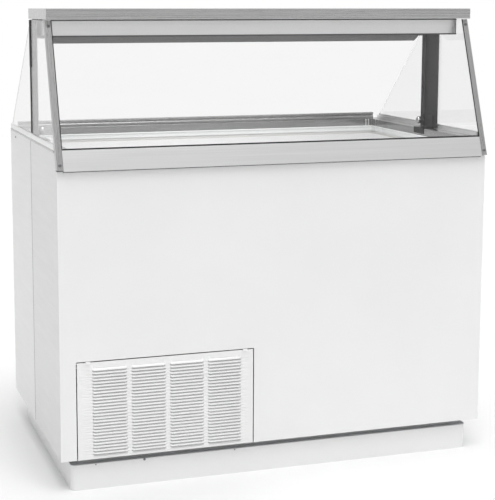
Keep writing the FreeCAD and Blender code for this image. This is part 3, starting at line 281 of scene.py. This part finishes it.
# radius of the softened edges in millimetres; 0 leaves them sharp
EDGE_ROUND = {"front_panel": 0.45, "canopy_cap": 2.2, "light_hood": 0.5, "front_fascia": 0.7,
              "top_rim": 0.9, "rear_rail": 1.2, "base_plinth": 0.25, "compressor": 0, "lamp_tube": 0,
              "evaporator_coil": 0, "refrigerant_lines": 0, "storage_shelf": 0, "trim_left": 0.7,
              "trim_right": 0.7, "breaker_strip": 0.9, "foam_insulation": 0, "thermostat_knob": 1.5,
              "thumb_screw_left": 1.2, "thumb_screw_right": 1.2, "relay_box": 2.5, "lamp_sockets": 1.5,
              "tank_liner": 0, "drain_plug": 1.0, "rear_panel": 0}
USUAL_ROUND = 0.4


# ---------------------------------------------------------------- CAD nodes
def second_finish(name, key, belongs):
    """Give the faces of a CAD node that pass a test another finish."""
    mesh = NODES[name].data
    mesh.materials.append(M[key])
    for face in mesh.polygons:
        if belongs(face):
            face.material_index = len(mesh.materials) - 1


def dress_cad_nodes():
    """Material and softened edges for each CAD node."""
    for key, names in NODE_MATERIALS.items():
        for name in names:
            thing = NODES[name]
            thing.data.materials.clear()
            thing.data.materials.append(M[key])
            soften(thing, EDGE_ROUND.get(name, USUAL_ROUND))


def finish_parts_of_nodes():
    """Painted shade on the hood's lower band, and the posts' side faces painted near black as shade with
    lighter edge faces as painted light.
    """
    hood = NODES["light_hood"].data
    shaded_band_height = 0.0245
    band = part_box("light_hood")[0].z + shaded_band_height
    # faces that reach into the hood's lowest band take the painted shade
    second_finish("light_hood", "hood_band_shade",
                  lambda face: min(hood.vertices[i].co.z for i in face.vertices) < band)
    # faces that do not look along X get the lighter painted-light copy; the rest keep the painted shade
    for name in ("post_left", "post_right"):
        second_finish(name, "post_lit_edge", lambda face: abs(face.normal.x) < 0.75)


def soften(thing, width):
    """Join split corners, round the edges a little and even out the shading."""
    weld = thing.modifiers.new("Weld", "WELD")
    weld.merge_threshold = 1e-5
    if width:
        bevel = thing.modifiers.new("Edges", "BEVEL")
        bevel.width = width * MM
        bevel.segments = 3
        bevel.limit_method = "ANGLE"
        bevel.angle_limit = math.radians(SHARP_DEGREES)
        bevel.use_clamp_overlap = True
        bevel.harden_normals = False
    even = thing.modifiers.new("Shading", "WEIGHTED_NORMAL")
    even.keep_sharp = True
    if "custom_normal" in thing.data.attributes:
        thing.data.attributes.remove(thing.data.attributes["custom_normal"])
    thing.data.polygons.foreach_set("use_smooth", [True] * len(thing.data.polygons))
    if not width:
        thing.data.set_sharp_from_angle(angle=math.radians(SHARP_DEGREES))


# ---------------------------------------------------------------- mesh helpers
def finish_piece(mesh, name, key, body, stands_for=(), sharp=SHARP_DEGREES):
    """Turn a bmesh into a named piece that rides on a body."""
    data = bpy.data.meshes.new(name)
    bmesh.ops.recalc_face_normals(mesh, faces=mesh.faces)
    mesh.to_mesh(data)
    mesh.free()
    data.polygons.foreach_set("use_smooth", [True] * len(data.polygons))
    data.set_sharp_from_angle(angle=math.radians(sharp))
    thing = bpy.data.objects.new(name, data)
    bpy.context.scene.collection.objects.link(thing)
    data.materials.append(M[key])
    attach(thing, body)
    if stands_for:
        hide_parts(*stands_for)
    return thing


def ring_of(mesh, centre, radius, axis_u, axis_v, count):
    """A ring of vertices around a centre, in the plane of two axes."""
    turn = 2 * math.pi / count
    return [mesh.verts.new(centre + radius * (math.cos(turn * i) * axis_u + math.sin(turn * i) * axis_v))
            for i in range(count)]


def bridge(mesh, first, second):
    """Faces between two rings of equal count."""
    count = len(first)
    for i in range(count):
        j = (i + 1) % count
        mesh.faces.new((first[i], first[j], second[j], second[i]))


def turned(mesh, origin, axis, profile, count=32):
    """A closed turned shape: profile gives (distance along the axis, radius) from end to end."""
    side = axis.orthogonal().normalized()
    other = axis.cross(side)
    rings = [ring_of(mesh, origin + axis * along, radius, side, other, count) for along, radius in profile]
    for first, second in zip(rings, rings[1:]):
        bridge(mesh, first, second)
    mesh.faces.new(rings[0][::-1])
    mesh.faces.new(rings[-1])


def bead(mesh, points, radius, closed=False, count=10):
    """A round bead along a list of points."""
    rings = []
    total = len(points)
    for index, point in enumerate(points):
        before = points[index - 1] if index or closed else point
        after = points[(index + 1) % total] if index < total - 1 or closed else point
        along = (after - before).normalized()
        side = along.cross(Vector((0.31, 0.17, 0.93))).normalized()
        rings.append(ring_of(mesh, point, radius, side, along.cross(side), count))
    for first, second in zip(rings, rings[1:]):
        bridge(mesh, first, second)
    if closed:
        bridge(mesh, rings[-1], rings[0])
    else:
        mesh.faces.new(rings[0][::-1])
        mesh.faces.new(rings[-1])


def slab(mesh, low, high, bevel=0.0):
    """A box between two corners, with bevelled edges if a bevel is given."""
    low, high = Vector(low), Vector(high)
    made = bmesh.ops.create_cube(mesh, size=1.0)
    size = high - low
    middle = (low + high) / 2
    for vert in made["verts"]:
        vert.co = Vector((vert.co.x * size.x, vert.co.y * size.y, vert.co.z * size.z)) + middle
    if bevel:
        edges = {edge for vert in made["verts"] for edge in vert.link_edges}
        bmesh.ops.bevel(mesh, geom=list(edges), offset=bevel, segments=3, affect="EDGES", profile=0.5)


# ---------------------------------------------------------------- grille and vent
def louvre_sheet(name, node, body, face_side, columns, rows, first, size, pitch, depth, rim):
    """A sheet with pressed louvres: every louvre is a curved hood over an open slit.

    face_side is -1 where the sheet faces -Y and 1 where it faces +Y.
    """
    low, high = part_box(node)
    face = low.y if face_side < 0 else high.y
    end_steps, hood_steps = 5, 5
    slit = size[1] * 0.26
    mesh = bmesh.new()
    xs, zs = [low.x, low.x + rim], [low.z, low.z + rim]
    spans = []
    for column in range(columns):
        left = first[0] + column * pitch[0]
        right = left + size[0]
        rise = size[0] * 0.07
        stops = [left + rise * i / end_steps for i in range(end_steps)]
        stops += [left + rise, (left + right) / 2, right - rise]
        stops += [right - rise + rise * i / end_steps for i in range(1, end_steps + 1)]
        spans.append((left, right, rise))
        xs += stops
    bands = []
    for row in range(rows):
        bottom = first[1] + row * pitch[1]
        bands.append((bottom, bottom + size[1]))
        zs += [bottom - slit] + [bottom + size[1] * i / hood_steps for i in range(hood_steps + 1)]
    xs += [high.x - rim, high.x]
    zs += [high.z - rim, high.z]

    def hood(x, z):
        for bottom, top in bands:
            if bottom - 1e-7 <= z <= top + 1e-7:
                for left, right, rise in spans:
                    if left <= x <= right:
                        edge = min(x - left, right - x)
                        across = math.sqrt(max(0.0, 1 - (1 - min(1.0, edge / rise)) ** 2))
                        down = (top - z) / (top - bottom)
                        return depth * across * math.sin(down * math.pi / 2) ** 0.8
        return 0.0

    grid = {}
    for i, x in enumerate(xs):
        for k, z in enumerate(zs):
            grid[i, k] = mesh.verts.new((x, face + face_side * (hood(x, z) - depth * 0.35), z))
    # the sheet is slit open below each hood
    bottoms = {round(bottom, 6) for bottom, _ in bands}
    for i in range(len(xs) - 1):
        for k in range(len(zs) - 1):
            corners = [(i, k), (i + 1, k), (i + 1, k + 1), (i, k + 1)]
            across = any(left < (xs[i] + xs[i + 1]) / 2 < right for left, right, _ in spans)
            if not (across and round(zs[k + 1], 6) in bottoms):
                mesh.faces.new([grid[corner] for corner in corners])
    outer = [edge for edge in mesh.edges if edge.is_boundary and
             all(abs(v.co.x - low.x) < 1e-6 or abs(v.co.x - high.x) < 1e-6 or
                 abs(v.co.z - low.z) < 1e-6 or abs(v.co.z - high.z) < 1e-6 for v in edge.verts)]
    turned_in = bmesh.ops.extrude_edge_only(mesh, edges=outer)
    moved = [v for v in turned_in["geom"] if isinstance(v, bmesh.types.BMVert)]
    bmesh.ops.translate(mesh, verts=moved, vec=(0, -face_side * rim * 0.8, 0))
    sheet = finish_piece(mesh, name, "body", body, (node,), 50)
    thick = sheet.modifiers.new("Sheet", "SOLIDIFY")
    thick.thickness = 0.8 * MM
    thick.offset = -1


def make_grilles():
    """The lift-off grille at the front and the vent at the rear."""
    louvre_sheet("grille_louvres", "grille_panel", "grille_panel", -1, columns=4, rows=27,
                 first=(-0.5202, 0.1005), size=(0.093, 0.0058), pitch=(0.1048, 0.0086),
                 depth=0.004, rim=0.004)
    vent_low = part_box("rear_vent")[0]
    vent_margin = 0.025
    louvre_sheet("rear_vent_louvres", "rear_vent", ROOT, 1, columns=2, rows=15,
                 first=(vent_low.x + vent_margin, vent_low.z + vent_margin), size=(0.15, 0.008),
                 pitch=(0.18, 0.012), depth=0.004, rim=0.004)


# ---------------------------------------------------------------- canopy details
def slope_y(z):
    """Front plane of the canopy at a height."""
    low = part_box("front_fascia")[0]
    return low.y + LEAN * (z - low.z)


def make_gaskets():
    """Black glazing strips where glass meets steel."""
    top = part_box("front_fascia")[1].z
    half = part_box("front_fascia")[1].x
    mesh = bmesh.new()
    height = 0.0035
    corner = [(slope_y(top), top - 0.0004), (slope_y(top) + 0.0022, top - 0.0004),
              (slope_y(top + height) + 0.0022, top + height), (slope_y(top + height) + 0.0006, top + height)]
    ends = []
    for x in (-half, half):
        ends.append([mesh.verts.new((x, y, z)) for y, z in corner])
    bridge(mesh, ends[0], ends[1])
    mesh.faces.new(ends[0])
    mesh.faces.new(ends[1][::-1])
    finish_piece(mesh, "front_glazing_strip", "rubber", ROOT)

    mesh = bmesh.new()
    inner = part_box("trim_right")[0].x
    bottom, upper = top + height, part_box("trim_right")[1].z
    for sign in (-1, 1):
        near, far = (inner - 0.0022) * sign, (inner + 0.001) * sign
        ends = []
        for z in (bottom, upper):
            y = slope_y(z)
            ends.append([mesh.verts.new((x, y + d, z)) for x, d in
                         ((near, 0.0012), (far, 0.0012), (far, 0.0021), (near, 0.0021))])
        bridge(mesh, ends[0], ends[1])
        mesh.faces.new(ends[0])
        mesh.faces.new(ends[1][::-1])
    finish_piece(mesh, "side_glazing_strips", "rubber", ROOT)


def make_seals():
    """Dark strips painted as shadow lines under the fascia, under the cap and along the hood's band, and a
    dark sealing strip in the joints between the side panels.
    """
    mesh = bmesh.new()
    low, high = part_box("front_fascia")
    # painted shadow line under the fascia's bottom edge
    slab(mesh, (low.x + 0.001, low.y + 0.006, low.z - 0.0026),
         (high.x - 0.001, low.y + 0.013, low.z + 0.0004), 0.0004)
    hood_low, hood_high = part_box("light_hood")
    cap_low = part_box("canopy_cap")[0]
    # painted shadow line under the cap's lower edge
    slab(mesh, (hood_low.x, hood_low.y - 0.0012, cap_low.z - 0.0044),
         (hood_high.x, hood_low.y + 0.0004, cap_low.z - 0.0002), 0.0004)
    band = hood_low.z + 0.025
    # painted shade line along the hood's band
    slab(mesh, (hood_low.x, hood_low.y - 0.001, band - 0.003),
         (hood_high.x, hood_low.y + 0.001, band + 0.0008), 0.0004)
    # a real dark sealing strip in the joint between front and rear side panels
    seam = (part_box("side_panel_left_front")[1].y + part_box("side_panel_left_rear")[0].y) / 2
    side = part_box("side_panel_right_front")[1]
    for sign in (-1, 1):
        ends = sorted((sign * (side.x - 0.0008), sign * (side.x + 0.0002)))
        slab(mesh, (ends[0], seam - 0.0013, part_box("side_panel_right_front")[0].z + 0.001),
             (ends[1], seam + 0.0013, side.z - 0.001), 0.0002)
    finish_piece(mesh, "shadow_lines_and_joint_seals", "shadow_and_seal", ROOT)


def make_post_strips():
    """Black edge strips that cover the posts outside the side glass, with a clip at the top."""
    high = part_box("side_glass_right")[1]
    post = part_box("post_right")
    mesh = bmesh.new()
    for sign in (-1, 1):
        for front, bottom, thick in ((0.016, post[0].z + 0.014, 0.0009), (0.021, post[1].z - 0.13, 0.0015)):
            ends = sorted((sign * high.x, sign * (high.x + thick)))
            slab(mesh, (ends[0], post[1].y - front, bottom), (ends[1], post[1].y, post[1].z - 0.003), 0.0003)
    finish_piece(mesh, "post_edge_strips", "rubber", ROOT)


def make_corner_joints():
    """Polished joint strips in the rear corners of the steel collar."""
    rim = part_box("top_rim")
    collar_side, strip_front, strip_rear = 0.563, 0.3168, 0.3184
    half_width, short = 0.0017, 0.001
    mesh = bmesh.new()
    for sign in (-1, 1):
        for inset in (0.012, 0.021):
            x = sign * (collar_side - inset)
            slab(mesh, (x - half_width, strip_front, rim[0].z + short),
                 (x + half_width, strip_rear, rim[1].z - short), 0.0004)
    finish_piece(mesh, "collar_joint_strips", "hood", ROOT)


def make_grille_tabs():
    """Small tabs that hold the grille's top corners, enamelled brighter than the body as painted highlights.
    """
    low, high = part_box("grille_panel")
    mesh = bmesh.new()
    for x in (low.x + 0.022, high.x - 0.03):
        slab(mesh, (x, low.y - 0.0022, high.z - 0.004), (x + 0.013, low.y + 0.0006, high.z + 0.0022), 0.0008)
    finish_piece(mesh, "grille_tabs", "tab_highlight", "grille_panel")


def screw_head(mesh, centre, outward, radius):
    """A pan head with a shallow round recess."""
    profile = [(0, radius), (radius * 0.22, radius), (radius * 0.45, radius * 0.82),
               (radius * 0.55, radius * 0.5), (radius * 0.56, radius * 0.42), (radius * 0.3, radius * 0.2)]
    turned(mesh, centre, outward, profile, 20)


def make_screws():
    """Screws on the trims, the side panels, the base and the rear panel."""
    lean = Vector((0, -1, LEAN)).normalized()
    trim_middle = 0.5975
    low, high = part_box("canopy_screws")
    mesh = bmesh.new()
    for sign in (-1, 1):
        for z in (low.z + 0.005, high.z - 0.005):
            screw_head(mesh, Vector((sign * trim_middle, slope_y(z), z)), lean, 0.0042)
    finish_piece(mesh, "canopy_screw_heads", "foot", ROOT, ("canopy_screws",))

    mesh = bmesh.new()
    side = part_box("side_panel_right_rear")[1]
    for sign in (-1, 1):
        screw_head(mesh, Vector((sign * side.x, side.y - 0.09, side.z - 0.014)), Vector((sign, 0, 0)), 0.003)
    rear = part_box("rear_panel")[1]
    for x in (-0.585, -0.2, 0.2, 0.585):
        for z in (0.105, 0.48, 0.872):
            screw_head(mesh, Vector((x, rear.y, z)), Vector((0, 1, 0)), 0.0042)
    vent_low, vent_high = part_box("rear_vent")
    for x in (vent_low.x + 0.012, vent_high.x - 0.012):
        for z in (vent_low.z + 0.012, vent_high.z - 0.012):
            screw_head(mesh, Vector((x, vent_high.y, z)), Vector((0, 1, 0)), 0.0042)
    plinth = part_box("base_plinth")
    for x, radius in ((-0.51, 0.0018), (-0.378, 0.0032), (-0.125, 0.0018)):
        screw_head(mesh, Vector((x, plinth[0].y, plinth[1].z - 0.002)), Vector((0, -1, 0)), radius)
    finish_piece(mesh, "panel_screw_heads", "foot", ROOT)


def make_thumb_screws():
    """Knurled thumb screws that clamp the posts to their feet."""
    for side, sign in (("left", -1), ("right", 1)):
        name = "thumb_screw_" + side
        low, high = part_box(name)
        centre_y, centre_z = (low.y + high.y) / 2, (low.z + high.z) / 2
        axis = Vector((sign, 0, 0))
        start = Vector((low.x if sign > 0 else high.x, centre_y, centre_z))
        length = high.x - low.x
        mesh = bmesh.new()
        outer = (high.z - low.z) / 2
        lobes, head = 12, 0.014
        side_u = Vector((0, 1, 0))
        side_v = Vector((0, 0, 1))
        rings = []
        for along, scale in ((0, 0.72), (0.001, 0.86), (0.0022, 0.94), (0.012, 0.94), (0.0134, 0.86),
                             (head, 0.72)):
            ring = []
            for i in range(lobes * 4):
                turn = 2 * math.pi * i / (lobes * 4)
                radius = outer * scale * (1 + 0.035 * math.cos(lobes * turn))
                ring.append(mesh.verts.new(start + axis * along + radius *
                                           (math.cos(turn) * side_u + math.sin(turn) * side_v)))
            rings.append(ring)
        for first, second in zip(rings, rings[1:]):
            bridge(mesh, first, second)
        mesh.faces.new(rings[0])
        mesh.faces.new(rings[-1])
        turned(mesh, start, axis, [(head, 0.0055), (head + 0.003, 0.0055), (head + 0.0032, 0.003),
                                   (length - 0.001, 0.003), (length, 0.0024)], 20)
        finish_piece(mesh, name + "_knurled", "bright", name, (name,))


def make_lamp_details():
    """Metal end caps on the lamp."""
    low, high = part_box("lamp_tube")
    centre_y, centre_z = (low.y + high.y) / 2, (low.z + high.z) / 2
    radius = (high.z - low.z) / 2
    mesh = bmesh.new()
    for sign in (-1, 1):
        end = Vector((high.x * sign, centre_y, centre_z))
        turned(mesh, end - Vector((sign * 0.0002, 0, 0)), Vector((-sign, 0, 0)),
               [(0, radius * 0.6), (0.0005, radius * 0.96), (0.002, radius * 1.02), (0.017, radius * 1.02),
                (0.019, radius * 1.0)], 32)
    finish_piece(mesh, "lamp_end_caps", "fins", ROOT)


# ---------------------------------------------------------------- tank and server side
def make_tub_cell_edges():
    """Folded edges round the cells of the tub collars."""
    for side in ("left", "right"):
        low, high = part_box("tub_collar_" + side)
        middle = (low + high) / 2
        mesh = bmesh.new()
        half, corner = 0.1272, 0.012
        pitch_across, pitch_deep = 0.277, 0.296
        for across in (-0.5, 0.5):
            for deep in (-0.5, 0.5):
                centre = Vector((middle.x + across * pitch_across, middle.y + deep * pitch_deep,
                                 low.z + 0.0006))
                points = []
                for quarter in range(4):
                    turn = math.pi / 2 * quarter
                    spot = Vector((half - corner, half - corner, 0))
                    spot.rotate(Matrix.Rotation(turn, 3, "Z"))
                    for step in range(7):
                        a = turn + math.pi / 12 * step
                        points.append(centre + spot + corner * Vector((math.cos(a), math.sin(a), 0)))
                bead(mesh, points, 0.0016, closed=True)
        finish_piece(mesh, "tub_cell_edges_" + side, "collar", "tub_collar_" + side)


def make_knob():
    """A fluted control knob with a pointer, and the dots of its dial."""
    low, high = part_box("thermostat_knob")
    centre = Vector(((low.x + high.x) / 2, low.y, (low.z + high.z) / 2))
    radius, length = (high.x - low.x) / 2, high.y - low.y
    mesh = bmesh.new()
    flutes = 18
    rings = []
    for along, scale, wave in ((0, 1.0, 0), (0.15, 1.0, 0.0), (0.2, 0.86, 0.03), (0.85, 0.8, 0.03),
                               (0.97, 0.76, 0.02), (1.0, 0.7, 0)):
        ring = []
        for i in range(flutes * 4):
            turn = 2 * math.pi * i / (flutes * 4)
            r = radius * scale * (1 + wave * math.cos(flutes * turn))
            ring.append(mesh.verts.new(centre + Vector((r * math.cos(turn), along * length,
                                                        r * math.sin(turn)))))
        rings.append(ring)
    for first, second in zip(rings, rings[1:]):
        bridge(mesh, first, second)
    mesh.faces.new(rings[0])
    mesh.faces.new(rings[-1])
    finish_piece(mesh, "thermostat_knob_fluted", "black", "thermostat_knob", ("thermostat_knob",))
    mesh = bmesh.new()
    slab(mesh, centre + Vector((-0.0012, length, 0.001)),
         centre + Vector((0.0012, length + 0.0012, radius * 0.68)), 0.0004)
    finish_piece(mesh, "thermostat_pointer", "breaker", "thermostat_knob")
    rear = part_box("rear_panel")[1].y
    mesh = bmesh.new()
    for i in range(9):
        turn = math.radians(-130 + 260 * i / 8 + 90)
        spot = Vector((centre.x + 0.025 * math.cos(turn), rear + 0.0003, centre.z + 0.025 * math.sin(turn)))
        turned(mesh, spot - Vector((0, 0.0002, 0)), Vector((0, 1, 0)),
               [(0, 0.0014), (0.0004, 0.0014), (0.0006, 0.0009)], 12)
    finish_piece(mesh, "thermostat_dial_dots", "black", ROOT)


# ---------------------------------------------------------------- machine compartment
def make_condenser():
    """Thin fins on tubes with return bends."""
    low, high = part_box("condenser_coil")
    left = -0.52
    mesh = bmesh.new()
    count = 96
    for i in range(count):
        x = left + (high.x - left) * (i + 0.5) / count
        slab(mesh, (x - 0.0002, low.y + 0.001, low.z), (x + 0.0002, high.y - 0.001, high.z))
    for x in (left, high.x - 0.0012):
        slab(mesh, (x, low.y, low.z), (x + 0.0012, high.y, high.z))
    finish_piece(mesh, "condenser_fins", "fins", ROOT, ("condenser_coil",))
    mesh = bmesh.new()
    middle = (low.y + high.y) / 2
    pitch, bend = 0.048, 0.012
    for i in range(5):
        z = low.z + pitch * (i + 0.5)
        arc = [Vector((left - bend * math.sin(a), middle, z - bend * math.cos(a)))
               for a in [math.pi * k / 12 for k in range(13)]]
        run = [Vector((high.x + 0.004, middle, z - bend))] + arc
        run.append(Vector((high.x + 0.004, middle, z + bend)))
        bead(mesh, run, 0.0045, count=12)
    finish_piece(mesh, "condenser_tubes", "copper", ROOT)


def make_fan():
    """Five swept blades with camber on a turned hub."""
    low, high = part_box("fan_blade")
    centre = Vector((-0.36, (low.y + high.y) / 2, 0.235))
    mesh = bmesh.new()
    turned(mesh, centre + Vector((0, 0.009, 0)), Vector((0, -1, 0)),
           [(0, 0.022), (0.014, 0.022), (0.0175, 0.018), (0.0185, 0.008)], 40)
    blades, root, tip = 5, 0.020, 0.099
    for blade in range(blades):
        base = 2 * math.pi * blade / blades
        rows = []
        for i in range(9):
            radius = root + (tip - root) * i / 8
            sweep = 0.22 * (i / 8) ** 2
            half_arc = 0.42 * (1 - 0.35 * i / 8)
            row = []
            for k in range(7):
                part = k / 6 - 0.5
                turn = base + sweep + 2 * part * half_arc
                lift = 0.013 * 2 * part * (1 - 0.3 * i / 8) + 0.003 * (1 - 4 * part * part)
                row.append(mesh.verts.new(centre + Vector((radius * math.cos(turn), lift * 0.72,
                                                           radius * math.sin(turn)))))
            rows.append(row)
        for first, second in zip(rows, rows[1:]):
            for k in range(6):
                mesh.faces.new((first[k], first[k + 1], second[k + 1], second[k]))
    fan = finish_piece(mesh, "fan_swept_blades", "fins", "fan_blade", ("fan_blade",))
    thick = fan.modifiers.new("Sheet", "SOLIDIFY")
    thick.thickness = 0.001
    thick.offset = 0


def make_compressor():
    """Domed can with a weld seam, on a foot plate."""
    low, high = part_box("compressor")
    centre = Vector((-0.34, 0.06, 0))
    bottom, top, radius = 0.115, high.z, 0.0775
    height = top - bottom
    profile = [(0.0, 0.03)]
    steps = 8
    for i in range(1, steps + 1):
        a = math.pi / 2 * i / steps
        profile.append((0.034 * (1 - math.cos(a)), 0.03 + (radius - 0.033) * math.sin(a)))
    seam = height * 0.55
    profile += [(seam - 0.004, radius - 0.003), (seam - 0.003, radius), (seam + 0.003, radius),
                (seam + 0.004, radius - 0.003)]
    for i in range(steps, 0, -1):
        a = math.pi / 2 * i / steps
        profile.append((height - 0.042 * (1 - math.cos(a)), 0.02 + (radius - 0.023) * math.sin(a)))
    profile.append((height, 0.02))
    mesh = bmesh.new()
    turned(mesh, centre + Vector((0, 0, bottom)), Vector((0, 0, 1)), profile, 64)
    slab(mesh, (low.x, low.y, low.z), (high.x, high.y, low.z + 0.004), 0.001)
    finish_piece(mesh, "compressor_can", "black_paint", ROOT, ("compressor",), 40)


# ---------------------------------------------------------------- floor, light and camera
def make_stage():
    """A plain pale floor."""
    data = bpy.data.meshes.new("floor")
    reach = 9.0
    data.from_pydata([(-reach, -reach, 0), (reach, -reach, 0), (reach, reach, 0), (-reach, reach, 0)], [],
                     [(0, 1, 2, 3)])
    floor = bpy.data.objects.new("floor", data)
    bpy.context.scene.collection.objects.link(floor)
    shader = Shader("floor_paint")
    shader.set(Base_Color=shader.tint(shader.noise(shader.place, 2.0, 3.0), (0.9, 0.9, 0.9),
                                      (0.92, 0.92, 0.92)), Roughness=0.7)
    data.materials.append(shader.material)


def sun(name, towards, strength, spread):
    light = bpy.data.lights.new(name, "SUN")
    light.energy = strength
    light.angle = math.radians(spread)
    thing = bpy.data.objects.new(name, light)
    thing.rotation_euler = Vector(towards).to_track_quat("-Z", "Y").to_euler()
    bpy.context.scene.collection.objects.link(thing)


def make_light():
    """A broad soft sun above the customer in a white studio, with the canopy lamp's glow."""
    sun("key", (0.02, 0.36, -0.93), 1.45, 35)
    glow = bpy.data.lights.new("canopy_glow", "AREA")
    glow.shape = "RECTANGLE"
    glow.size, glow.size_y = 1.05, 0.1
    glow.energy = 3.0
    lamp = bpy.data.objects.new("canopy_glow", glow)
    lamp.location = (0, -0.06, 1.15)
    bpy.context.scene.collection.objects.link(lamp)
    world = bpy.data.worlds.new("studio")
    bpy.context.scene.world = world
    world.use_nodes = True
    tree = world.node_tree
    tree.nodes.clear()
    add = tree.nodes.new
    link = tree.links.new
    place = add("ShaderNodeTexCoord")
    parts = add("ShaderNodeSeparateXYZ")
    link(place.outputs["Generated"], parts.inputs[0])
    ramp = add("ShaderNodeValToRGB")
    ramp.color_ramp.elements[0].position = 0.0
    ramp.color_ramp.elements[0].color = (0.7, 0.7, 0.7, 1)
    ramp.color_ramp.elements[1].position = 1.0
    ramp.color_ramp.elements[1].color = (0.95, 0.95, 0.95, 1)
    for position, value in ((0.5, 0.5), (0.6, 0.55), (0.75, 0.85)):
        stop = ramp.color_ramp.elements.new(position)
        stop.color = (value, value, value, 1)
    half = add("ShaderNodeMath")
    half.operation = "MULTIPLY_ADD"
    half.inputs[1].default_value = 0.5
    half.inputs[2].default_value = 0.5
    link(parts.outputs["Z"], half.inputs[0])
    link(half.outputs[0], ramp.inputs[0])
    behind = add("ShaderNodeMapRange")
    behind.inputs[1].default_value = 0.4
    behind.inputs[2].default_value = 0.9
    link(parts.outputs["Y"], behind.inputs[0])
    mix = add("ShaderNodeMix")
    mix.data_type = "RGBA"
    link(behind.outputs[0], mix.inputs["Factor"])
    left = add("ShaderNodeMapRange")
    for index, number in enumerate((-0.8, 0.2, 0.76, 1.0), 1):
        left.inputs[index].default_value = number
    link(parts.outputs["X"], left.inputs[0])
    dim = add("ShaderNodeVectorMath")
    dim.operation = "SCALE"
    link(ramp.outputs[0], dim.inputs[0])
    link(left.outputs[0], dim.inputs["Scale"])
    link(dim.outputs[0], mix.inputs[6])
    mix.inputs[7].default_value = (0.95, 0.95, 0.95, 1)
    soft = add("ShaderNodeBackground")
    link(mix.outputs[2], soft.inputs[0])
    soft.inputs[1].default_value = 0.88
    white = add("ShaderNodeBackground")
    white.inputs[0].default_value = (1, 1, 1, 1)
    path = add("ShaderNodeLightPath")
    seen = add("ShaderNodeMath")
    seen.operation = "MAXIMUM"
    link(path.outputs["Is Camera Ray"], seen.inputs[0])
    link(path.outputs["Is Transmission Ray"], seen.inputs[1])
    choose = add("ShaderNodeMixShader")
    link(seen.outputs[0], choose.inputs[0])
    link(soft.outputs[0], choose.inputs[1])
    link(white.outputs[0], choose.inputs[2])
    out = add("ShaderNodeOutputWorld")
    link(choose.outputs[0], out.inputs[0])
    bpy.context.scene.view_settings.view_transform = "Standard"


def make_camera():
    """A long lens, from the customer's left at chest height."""
    camera = bpy.data.cameras.new("view")
    camera.sensor_width = 36
    camera.lens = 95.07
    camera.shift_x, camera.shift_y = 0.065, -0.12
    thing = bpy.data.objects.new("view", camera)
    yaw, pitch, roll = 0.3121, 0.1389, -0.0005
    thing.location = (-1.2368, -3.6014, 1.2604)
    thing.rotation_euler = (math.pi / 2 - pitch, roll, -yaw)
    bpy.context.scene.collection.objects.link(thing)
    bpy.context.scene.camera = thing


make_camera()
dress_cad_nodes()
finish_parts_of_nodes()
make_grilles()
make_gaskets()
make_seals()
make_post_strips()
make_corner_joints()
make_grille_tabs()
make_screws()
make_thumb_screws()
make_lamp_details()
make_tub_cell_edges()
make_knob()
make_condenser()
make_fan()
make_compressor()
make_stage()
make_light()
